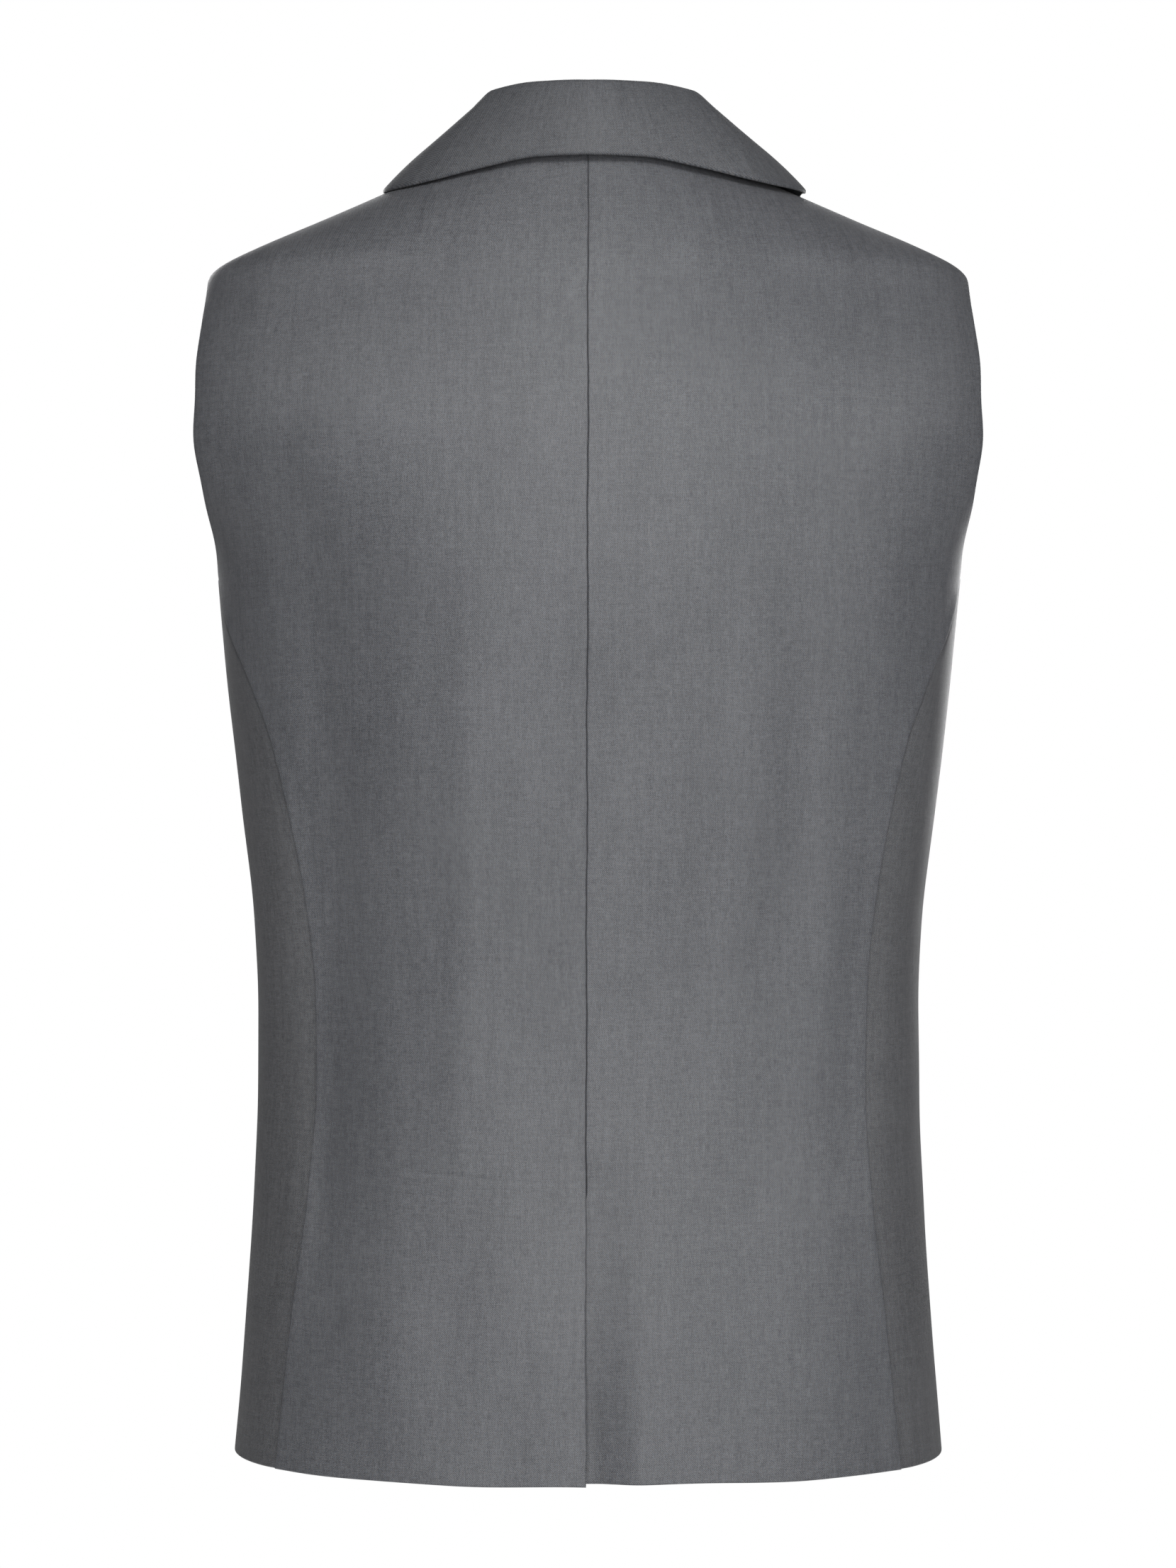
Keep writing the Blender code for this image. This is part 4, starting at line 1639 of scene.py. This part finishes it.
@dataclass
class Collar:
    """Turned-down collar: a stand, a rolled fold and a leaf that lies on the back and shoulders.

    Attributes:
        stations, stand_rows, fold_rows, leaf_rows: fineness of the grid round and down.
        length, stand_length, leaf_length: usual sizes, for the grid and the cloth coordinates.
        cloth_top: cloth coordinate of the seam.
        fold_radius, fold_share, fold_turn: radius of the fold, its largest share of the stand, and
            how far round it turns.
        tuck, tuck_step: how far the stand reaches below the seam, and how far in it steps there.
        tuck_from, tuck_run: height below which it steps in, and over what drop.
        skew: how much further to the right the leaf lies than the stand.
        lie: clearance above the back and the fronts.
        stand_off, stand_off_end: how the leaf stands off behind the neck, and where that ends.
        ridge_lift, ridge_at, ridge_reach: how it rises over the shoulder seam.
        belly, belly_power: how it bulges between fold and edge.
        ripple, ripple_number, ripple_phase: its slight waves.
        edge_turn: distance over which its edge rounds off.
        notch, corner, at_shoulder: spots of the leaf's edge, seen from the front.
        notch_share, notch_from, notch_run: place of the notch on the front end, and where round the
            collar the end starts to bend towards it.
        front_turn, front_spread: how the stand turns flat towards the lapel.
    """

    material: bpy.types.Material
    pattern: Pattern
    stations: int = 96
    stand_rows: int = 14
    fold_rows: int = 12
    leaf_rows: int = 30
    length: float = 0.245
    stand_length: float = 0.030
    leaf_length: float = 0.042
    cloth_top: float = 0.06
    fold_radius: float = 0.003
    fold_share: float = 0.6
    fold_turn: float = math.pi * 0.85
    tuck: float = 0.005
    tuck_step: float = 0.0004
    tuck_from: float = 0.002
    tuck_run: float = 0.004
    skew: float = 0.0035
    lie: float = 0.0009
    stand_off: float = 0.0034
    stand_off_end: float = 0.95
    ridge_lift: float = 0.0005
    ridge_at: float = 1.08
    ridge_reach: float = 0.12
    belly: float = 0.0019
    belly_power: float = 0.8
    ripple: float = 0.0005
    ripple_number: float = 9
    ripple_phase: float = 0.8
    edge_turn: float = 0.0012
    notch: tuple[float, float] = (0.090, -0.072)
    corner: tuple[float, float] = (0.115, -0.061)
    at_shoulder: tuple[float, float] = (0.1085, -0.0113)
    notch_share: float = 0.58
    notch_from: float = 1.45
    notch_run: float = 0.55
    front_turn: float = 0.8
    front_spread: float = 1.5

    def numbers(self, along: Array) -> tuple[Array, Array, Array]:
        """Read the sections at places on the way round.

        Args:
            along: shares of the way round.

        Returns:
            Stand height, lean and height of the leaf's edge, in metres.
        """
        places = [section.along for section in COLLAR_SECTIONS]
        stand = SmoothCurve(places, [section.stand / 1000 for section in COLLAR_SECTIONS])
        lean = SmoothCurve(places, [section.lean / 1000 for section in COLLAR_SECTIONS])
        behind = [section for section in COLLAR_SECTIONS if section.along <= 1]
        drop = SmoothCurve([section.along for section in behind],
                           [section.drop / 1000 for section in behind])
        return stand(along), lean(along), drop(along)

    def seam_frame(self, along: Array) -> tuple[Array, Array, Array]:
        """Where the collar is sewn on, and which way it stands there.

        Args:
            along: shares of the way round.

        Returns:
            Seam points, standing directions and outward directions.
        """
        past_centre = 0.0005
        behind = along <= 1
        back_z = CUT.back_neck_rise * (1 - np.minimum(along, 1) ** 2)
        back = FORM.point(math.pi / 2 * (1 - np.minimum(along, 1)) + past_centre, back_z)
        front_z = GORGE[1] * ease((along - 1) * 0.5) * 2
        front = FORM.chest(FORM.roll_line(front_z), front_z)
        seam = np.where(behind[:, None], back, front)
        normal = FORM.normal(seam)
        up = np.array([0.0, 0.0, 1.0])
        turn = ease((along - 1) / self.front_turn)[:, None]
        standing = up + (normal - up) * turn
        standing /= np.linalg.norm(standing, axis=-1, keepdims=True)
        outward = normal - standing * (normal * standing).sum(-1, keepdims=True)
        outward /= np.maximum(np.linalg.norm(outward, axis=-1, keepdims=True), 1e-9)
        away = np.array([1.0, 0.0, -0.6])
        level = away - standing * (standing @ away)[:, None]
        level /= np.linalg.norm(level, axis=-1, keepdims=True)
        mix = (ease((along - 1) * self.front_spread) * ~behind)[:, None]
        outward = outward + (level - outward) * mix
        outward /= np.linalg.norm(outward, axis=-1, keepdims=True)
        return seam, standing, outward

    def leaf_foot(self, along: Array, drop: Array) -> tuple[Array, Array]:
        """Where the leaf's edge lies.

        Args:
            along: shares of the way round.
            drop: height of the edge on the back.

        Returns:
            Points of the form beneath the edge, and the form's normals there.
        """
        inside, spread_power = 0.9999, 1.5
        back = FORM.point(math.pi / 2 * (1 - np.minimum(along, 1)), drop)
        share = np.clip(along - 1, 0, 1)[:, None] ** spread_power
        spot = np.array(self.at_shoulder) + (np.array(self.corner) - self.at_shoulder) * share
        widest = FORM.half_width(spot[:, 1]) * inside
        front = FORM.chest(np.minimum(spot[:, 0], widest), spot[:, 1])
        foot = np.where((along <= 1)[:, None], back, front)
        return foot, FORM.normal(foot)

    def gorge_pull(self, along: Array, share: float) -> Array:
        """Shift that bends the front end from the gorge seam to the notch's other side.

        Args:
            along: shares of the way round.
            share: share of the way down the leaf.

        Returns:
            Shifts in metres.
        """
        gorge, notch, corner = (np.array(spot) for spot in (GORGE, self.notch, self.corner))
        turn = self.notch_share
        straight = gorge + (corner - gorge) * share
        if share < turn:
            bent = gorge + (notch - gorge) * share / turn
        else:
            bent = notch + (corner - notch) * (share - turn) / (1 - turn)
        shift = (bent - straight) * ease((along - self.notch_from) / self.notch_run)[:, None]
        before = FORM.chest(straight[0], straight[1])
        after = FORM.chest(straight[0] + shift[:, 0], straight[1] + shift[:, 1])
        return (after - before) * (along > 1)[:, None]

    def half(self, along: Array, profile: float, depth: float) -> Array:
        """Points of the +X half: up the stand (0 to 1), over the fold (to 2), down the leaf (to 3).

        Args:
            along: shares of the way round.
            profile: place on the section.
            depth: 0 on the visible face, the wall's thickness on the hidden one.

        Returns:
            One point for each station.
        """
        stand, lean, drop = self.numbers(along)
        seam, standing, outward = self.seam_frame(along)
        radius = np.minimum(self.fold_radius, stand * self.fold_share)
        top = stand - radius

        def place(up: Array, out: Array) -> Array:
            """Point at a height up the stand and a distance outwards."""
            return seam + standing * up[:, None] + outward * out[:, None]

        if profile <= 1:
            up = (top + self.tuck) * profile - self.tuck
            inside = (CUT.wall + self.tuck_step) * ease((self.tuck_from - up) / self.tuck_run)
            return place(up, -CUT.wall - inside - lean * profile + depth)
        turned = radius - depth
        turn = self.fold_turn * min(profile - 1, 1)
        over = place(top + turned * math.sin(turn),
                     -CUT.wall - lean + radius - turned * math.cos(turn))
        if profile <= 2:
            return over
        foot, normal = self.leaf_foot(along, drop)
        share = profile - 2
        ridge = self.ridge_lift * np.exp(-((along - self.ridge_at) / self.ridge_reach) ** 2)
        stand_off = self.stand_off * (1 - ease(along / self.stand_off_end))
        lift = self.lie + ridge + stand_off + CUT.wall - depth
        end = foot + normal * lift[:, None]
        arch = math.sin(math.pi * share)
        wave = np.sin(along * self.ripple_number + self.ripple_phase)
        swell = self.belly * arch**self.belly_power + self.ripple * arch * wave
        return over + (end - over) * share + normal * swell[:, None] + self.gorge_pull(along, share)

    def profile(self) -> Array:
        """Places on the section where the grid has rows.

        Returns:
            Rising places from 0 at the seam to 3 at the leaf's edge.
        """
        stand_end, before_fold, after_fold, leaf_start = 0.86, 0.93, 2.04, 0.1
        stand = spread_distances(self.stand_length, self.stand_rows) / self.stand_length
        fold = 1 + np.linspace(0, 1, self.fold_rows)
        leaf = spread_distances(self.leaf_length, self.leaf_rows) / self.leaf_length
        return np.concatenate([stand[stand < stand_end], [before_fold], fold, [after_fold],
                               2 + leaf[leaf > leaf_start]])

    def build(self) -> bpy.types.Object:
        """Make the collar, with its cloth coordinates.

        Returns:
            The piece.
        """
        ends = 2 * np.array(EDGE_STEPS) / self.length
        along = np.concatenate([np.linspace(0, 2 - ends[-1], self.stations),
                                2 - ends[-2::-1]])
        profile = self.profile()
        around = np.concatenate([-along[:0:-1], along])
        skew = np.sin(math.pi * np.abs(around) / 2) * ease(profile - 1)[:, None] * self.skew
        grids = []
        for depth in (0.0, CUT.wall):
            half = np.stack([self.half(along, float(spot), depth) for spot in profile])
            mirror = half[:, :0:-1] * np.array([-1.0, 1.0, 1.0])
            grid = np.concatenate([mirror, half], axis=1)
            grid[..., 0] -= skew
            grids.append(grid)
        outer, inner = grids
        steps = np.linalg.norm(np.diff(outer, axis=0), axis=-1)
        down = np.concatenate([np.zeros((1, outer.shape[1])), np.cumsum(steps, axis=0)])
        cloth = np.stack([np.broadcast_to(around * self.length / 2, down.shape),
                          self.cloth_top - down], axis=-1)
        shell = Shell("collar", outer, inner, cloth, turn=self.edge_turn, mirrored=True)
        return lay_sheet(shell, self.material)


@dataclass
class Button:
    """Four-hole button with a turned rim, sewn on with two bars of thread.

    Attributes:
        number: its place, from the top.
        horn, thread: its finishes.
        radius, thickness: size of the disc.
        dish: height of the sunk middle, as a share of half the thickness.
        hole_radius, hole_reach: size of a hole, and its distance from both centre lines.
        steps: number of facets round the rim.
        strand, strand_radius: spacing and radius of the strands of a bar.
        strand_dip, strand_rise, strand_top: heights along a strand, from the sunk middle.
    """

    number: int
    horn: bpy.types.Material
    thread: bpy.types.Material
    radius: float = 0.010
    thickness: float = 0.0034
    hole_radius: float = 0.0009
    hole_reach: float = 0.0018
    dish: float = 0.35
    steps: int = 56
    strand: float = 0.00036
    strand_radius: float = 0.00022
    strand_dip: float = -0.0012
    strand_rise: float = 0.0003
    strand_top: float = 0.00062

    @property
    def name(self) -> str:
        """Name of the button's solid."""
        return f"button_{self.number}"

    def seat(self) -> Matrix:
        """Place of the button's centre, facing out of the front.

        Returns:
            The matrix that sets it there.
        """
        beside = np.array([1e-5, 0, 0])
        low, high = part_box(self.name)
        height = (low[2] + high[2]) / 2
        point = FORM.chest(np.array(0.0), np.array(height))
        normal = Vector(FORM.normal(point + beside))
        normal.x = 0
        middle = Vector((low[0] + high[0], low[1] + high[1], low[2] + high[2])) / 2
        spin = normal.to_track_quat("Z", "Y").to_matrix().to_4x4()
        return Matrix.Translation(middle) @ spin

    def disc(self) -> bpy.types.Object:
        """Turned disc with a dished middle and a rounded rim.

        Returns:
            The disc, about its own centre.
        """
        r, t = self.radius, self.thickness / 2
        # Outline from the middle of the face to that of the back, as shares of radius and height.
        outline = ((0.0, self.dish), (0.55, self.dish), (0.66, 0.62), (0.76, 0.95), (0.86, 1.0),
                   (0.95, 0.80), (1.0, 0.25), (1.0, -0.25), (0.93, -0.80), (0.80, -1.0), (0.0, -1.0))
        mesh = bpy.data.meshes.new(f"{self.name}_disc")
        shape = bmesh.new()
        points = [shape.verts.new((x * r, 0, z * t)) for x, z in outline]
        edges = [shape.edges.new(pair) for pair in zip(points, points[1:])]
        bmesh.ops.spin(shape, geom=points + edges, axis=(0, 0, 1), cent=(0, 0, 0),
                       angle=2 * math.pi, steps=self.steps)
        bmesh.ops.remove_doubles(shape, verts=shape.verts[:], dist=1e-6)
        bmesh.ops.recalc_face_normals(shape, faces=shape.faces[:])
        shape.to_mesh(mesh)
        shape.free()
        return add_object(mesh.name, mesh)

    def hole_places(self) -> list[tuple[float, float]]:
        """Centres of the four holes."""
        reach = self.hole_reach
        return [(x * reach, y * reach) for x in (-1, 1) for y in (-1, 1)]

    def drill(self, disc: bpy.types.Object) -> None:
        """Cut the four holes through the disc.

        Args:
            disc: the disc, about its own centre.
        """
        facets, depth, sharp = 16, 0.02, math.radians(50)
        tool_mesh = bpy.data.meshes.new("drill")
        tool = bmesh.new()
        for x, y in self.hole_places():
            made = bmesh.ops.create_cone(tool, cap_ends=True, segments=facets, depth=depth,
                                         radius1=self.hole_radius, radius2=self.hole_radius)
            bmesh.ops.translate(tool, verts=made["verts"], vec=(x, y, 0))
        tool.to_mesh(tool_mesh)
        tool.free()
        cutter = add_object("drill", tool_mesh)
        cut = disc.modifiers.new("holes", "BOOLEAN")
        cut.object = cutter
        cut.operation = "DIFFERENCE"
        graph = bpy.context.evaluated_depsgraph_get()
        drilled = bpy.data.meshes.new_from_object(disc.evaluated_get(graph))
        disc.modifiers.clear()
        disc.data = drilled
        bpy.data.objects.remove(cutter)
        drilled.shade_smooth()
        drilled.set_sharp_from_angle(angle=sharp)

    def stitches(self) -> bpy.types.Object:
        """Two bars of thread over the holes, each of a few strands that dip into the holes.

        Returns:
            The thread, about the button's own centre.
        """
        curve = bpy.data.curves.new(f"{self.name}_thread", "CURVE")
        curve.dimensions = "3D"
        curve.bevel_depth = self.strand_radius
        curve.bevel_resolution = 2
        reach, top = self.hole_reach, self.thickness / 2 * self.dish
        profile = ((-1.0, self.strand_dip), (-0.8, self.strand_rise), (0.0, self.strand_top),
                   (0.8, self.strand_rise), (1.0, self.strand_dip))
        for side in (-1, 1):
            for strand in (-1, 0, 1):
                y = side * reach + strand * self.strand
                line = curve.splines.new("BEZIER")
                line.bezier_points.add(len(profile) - 1)
                for knot, (share, height) in zip(line.bezier_points, profile):
                    knot.co = (share * reach, y, top + height)
                    knot.handle_left_type = "AUTO"
                    knot.handle_right_type = "AUTO"
        rough = add_object(curve.name, curve)
        graph = bpy.context.evaluated_depsgraph_get()
        mesh = bpy.data.meshes.new_from_object(rough.evaluated_get(graph))
        bpy.data.objects.remove(rough)
        mesh.shade_smooth()
        return add_object(f"{self.name}_thread", mesh)

    def build(self) -> None:
        """Make the button and its thread, and set them on the front."""
        seat = self.seat()
        disc = self.disc()
        self.drill(disc)
        disc.data.transform(seat)
        dress(disc, self.name, self.horn)
        thread = self.stitches()
        thread.data.transform(seat)
        thread.data.materials.append(self.thread)
        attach(thread, "root")


@dataclass
class Buttonhole:
    """Stitched buttonhole in the right front, level with its button.

    Attributes:
        number: its button's number.
        thread: its finish.
        length, half_height: size of the slot's outline.
        past_button: how far it reaches past the button's centre.
        stitch_pitch: distance between stitches.
        stitch_width, stitch_share, stitch_height: size of a stitch across, along as a share of the
            pitch, and up.
        stand_off: how far its stitches lie above the cloth.
    """

    number: int
    thread: bpy.types.Material
    length: float = 0.024
    half_height: float = 0.0013
    past_button: float = 0.003
    stitch_pitch: float = 0.0007
    stitch_width: float = 0.00095
    stitch_share: float = 0.52
    stitch_height: float = 0.00032
    stand_off: float = 0.0002

    def build(self) -> None:
        """Make the ring of close stitches round the slit."""
        low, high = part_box(f"button_{self.number}")
        height = (low[2] + high[2]) / 2
        half = self.length / 2 - self.half_height
        centre = -self.length / 2 + self.past_button
        steps = int(2 * (2 * half + math.pi * self.half_height) / self.stitch_pitch)
        path = np.array([self.stadium(step / steps, half) for step in range(steps)])
        points = FORM.chest(path[:, 0] + centre, path[:, 1] + height)
        normal = FORM.normal(points)
        lift = crease_height(points) + self.stand_off
        points = points + normal * lift[:, None]
        mesh = bpy.data.meshes.new(f"buttonhole_{self.number}")
        shape = bmesh.new()
        size = Matrix.Diagonal((self.stitch_width, self.stitch_pitch * self.stitch_share,
                                self.stitch_height, 1.0))
        for index in range(steps):
            ahead = Vector(points[(index + 1) % steps] - points[index - 1]).normalized()
            up = Vector(normal[index])
            across = up.cross(ahead).normalized()
            turn = Matrix((across, ahead, up)).transposed().to_4x4()
            made = bmesh.ops.create_uvsphere(shape, u_segments=8, v_segments=6, radius=1.0)
            place = Matrix.Translation(Vector(points[index])) @ turn @ size
            bmesh.ops.transform(shape, matrix=place, verts=made["verts"])
        shape.to_mesh(mesh)
        shape.free()
        mesh.shade_smooth()
        piece = add_object(mesh.name, mesh)
        piece.data.materials.append(self.thread)
        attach(piece, "root")

    def stadium(self, share: float, half: float) -> tuple[float, float]:
        """Point on the outline of a slot with round ends.

        Args:
            share: how far round the outline.
            half: half the length of its straight runs.

        Returns:
            Distances along and across the slot.
        """
        r = self.half_height
        run = 2 * half
        total = 2 * run + 2 * math.pi * r
        s = share * total
        if s < run:
            return s - half, r
        if s < run + math.pi * r:
            turn = (s - run) / r
            return half + r * math.sin(turn), r * math.cos(turn)
        if s < 2 * run + math.pi * r:
            return half - (s - run - math.pi * r), -r
        turn = (s - 2 * run - math.pi * r) / r
        return -half - r * math.sin(turn), -r * math.cos(turn)


@dataclass(frozen=True)
class Softbox:
    """One large light.

    Attributes:
        name: its name.
        azimuth, elevation: where it stands, in degrees from the camera's side and from level.
        share: its power, as a share of the key power.
    """

    name: str
    azimuth: float
    elevation: float
    share: float


SOFTBOXES = (
    Softbox("key", 2, 6, 0.95),
    Softbox("low", 0, -12, 0.40),
    Softbox("right", -36, 0, 0.50),
    Softbox("right_high", -56, 26, 0.80),
    Softbox("left_high", 52, 34, 0.50),
    Softbox("left_top", 42, 56, 0.20),
    Softbox("high", 0, 34, 1.40),
    Softbox("front_key", 176, 4, 1.30),
    Softbox("front_right", 206, 8, 0.90),
    Softbox("front_left", 154, 16, 0.90),
    Softbox("front_high", 180, 36, 1.00),
)


@dataclass
class Studio:
    """Camera, lights, pale floor and plain white surroundings.

    Attributes:
        distance, eye_height, lens: the camera's place behind the back and its focal length.
        floor_height, floor_radius, floor_tone: the floor.
        light_distance, light_size, light_aim: the softboxes, and the height that they face.
        key_power: watts that their shares are of.
        ambient: strength of the surroundings as light.
    """

    distance: float = 1.95
    eye_height: float = -0.322
    lens: float = 84.6
    floor_height: float = -1.38
    floor_radius: float = 2.7
    floor_tone: float = 0.86
    light_distance: float = 2.4
    light_size: float = 0.80
    light_aim: float = -0.34
    key_power: float = 16.1
    ambient: float = 0.03

    def camera(self) -> None:
        """Level camera square on to the back."""
        data = bpy.data.cameras.new("camera")
        data.lens = self.lens
        data.sensor_width = 36
        data.clip_end = 50
        camera = add_object("camera", data)
        camera.location = (0, self.distance, self.eye_height)
        camera.rotation_euler = (math.radians(90), 0, math.radians(180))
        bpy.context.scene.camera = camera

    def lights(self) -> None:
        """Softboxes behind the garment, on both sides of it, above it and before its front."""
        aim = Vector((0, 0, self.light_aim))
        for box in SOFTBOXES:
            turn, lift = math.radians(box.azimuth), math.radians(box.elevation)
            away = Vector((math.sin(turn) * math.cos(lift), math.cos(turn) * math.cos(lift),
                           math.sin(lift)))
            data = bpy.data.lights.new(box.name, "AREA")
            data.shape = "RECTANGLE"
            data.size = data.size_y = self.light_size
            data.energy = self.key_power * box.share
            facing = (-away).to_track_quat("-Z", "Y").to_matrix().to_4x4()
            place = Matrix.Translation(aim + away * self.light_distance)
            add_object(box.name, data).matrix_world = place @ facing

    def floor(self) -> None:
        """Pale round floor well below the hem."""
        mesh = bpy.data.meshes.new("floor")
        shape = bmesh.new()
        bmesh.ops.create_circle(shape, cap_ends=True, segments=96, radius=self.floor_radius)
        shape.to_mesh(mesh)
        shape.free()
        floor = add_object("floor", mesh)
        floor.location.z = self.floor_height
        board = NodeBoard("floor")
        tone = self.floor_tone
        board.shader.inputs["Base Color"].default_value = (tone, tone, tone, 1)
        board.fix(Roughness=1.0, Specular_IOR_Level=0.0)
        mesh.materials.append(board.material)

    def surroundings(self) -> None:
        """White to the camera, and a gentler grey as light."""
        world = bpy.data.worlds.new("surroundings")
        world.use_nodes = True
        tree = world.node_tree
        backdrop = tree.nodes["Background"]
        backdrop.inputs["Strength"].default_value = self.ambient
        backdrop.inputs["Color"].default_value = (1, 1, 1, 1)
        seen = tree.nodes.new("ShaderNodeBackground")
        seen.inputs["Color"].default_value = (1, 1, 1, 1)
        rays = tree.nodes.new("ShaderNodeLightPath")
        mix = tree.nodes.new("ShaderNodeMixShader")
        tree.links.new(rays.outputs["Is Camera Ray"], mix.inputs[0])
        tree.links.new(backdrop.outputs[0], mix.inputs[1])
        tree.links.new(seen.outputs[0], mix.inputs[2])
        tree.links.new(mix.outputs[0], tree.nodes["World Output"].inputs[0])
        bpy.context.scene.world = world
        bpy.context.scene.view_settings.view_transform = "Standard"

    def build(self) -> None:
        """Set up the whole studio."""
        self.camera()
        self.lights()
        self.floor()
        self.surroundings()


def report(piece: bpy.types.Object) -> None:
    """Log a piece with its face count and surface area."""
    area = sum(face.area for face in piece.data.polygons)
    log.info("%s: %d faces, %.4f m2 of surface", piece.name, len(piece.data.polygons), area)


def main() -> None:
    """Build the garment piece by piece, then the studio."""
    logging.basicConfig(level=logging.INFO, format="%(name)s: %(message)s")
    wardrobe = Wardrobe(
        suiting=Suiting("suiting").build(),
        # Side panels: same suiting, darker and less blue, which is painted shade for cloth turned away
        # from the light.
        side_suiting=Suiting("side_suiting", dark=(0.036, 0.037, 0.042),
                             light=(0.140, 0.1425, 0.152)).build(),
        # Collar: same suiting with a rougher finish, darker as painted shade for the leaf facing
        # upwards.
        collar_cloth=Suiting("collar_cloth", dark=(0.030, 0.0318, 0.038), roughness=0.60,
                             light=(0.117, 0.121, 0.132)).build(),
        horn=HornFinish().build(),
        thread=ThreadFinish().build(),
    )
    cloth = wardrobe.suiting
    pieces = [
        BackPanel(Side.LEFT, cloth, Pattern(0.235, 0.690, 0.129), hem_lift=-0.0010),
        BackPanel(Side.RIGHT, cloth, Pattern(0.265, 0.690, 0.1325), hem_lift=0.0002),
        SidePanel(Side.LEFT, wardrobe.side_suiting, Pattern(0.135, 0.465, 0.0465)),
        SidePanel(Side.RIGHT, wardrobe.side_suiting, Pattern(0.135, 0.465, 0.050)),
        FrontPanel(Side.LEFT, cloth, Pattern(0.240, 0.700, 0.1295)),
        FrontPanel(Side.RIGHT, cloth, Pattern(0.240, 0.700, 0.1295)),
        Lapel(Side.LEFT, cloth, Pattern(0.075, 0.190, 0.0082)),
        Lapel(Side.RIGHT, cloth, Pattern(0.075, 0.190, 0.0082)),
        Collar(wardrobe.collar_cloth, Pattern(0.430, 0.088, 0.031)),
    ]
    for maker in pieces:
        report(maker.build())
    for number in (1, 2, 3):
        Button(number, wardrobe.horn, wardrobe.thread).build()
        Buttonhole(number, wardrobe.thread).build()
        log.info("button %d and its buttonhole", number)
    Studio().build()


if __name__ == "__main__":
    main()
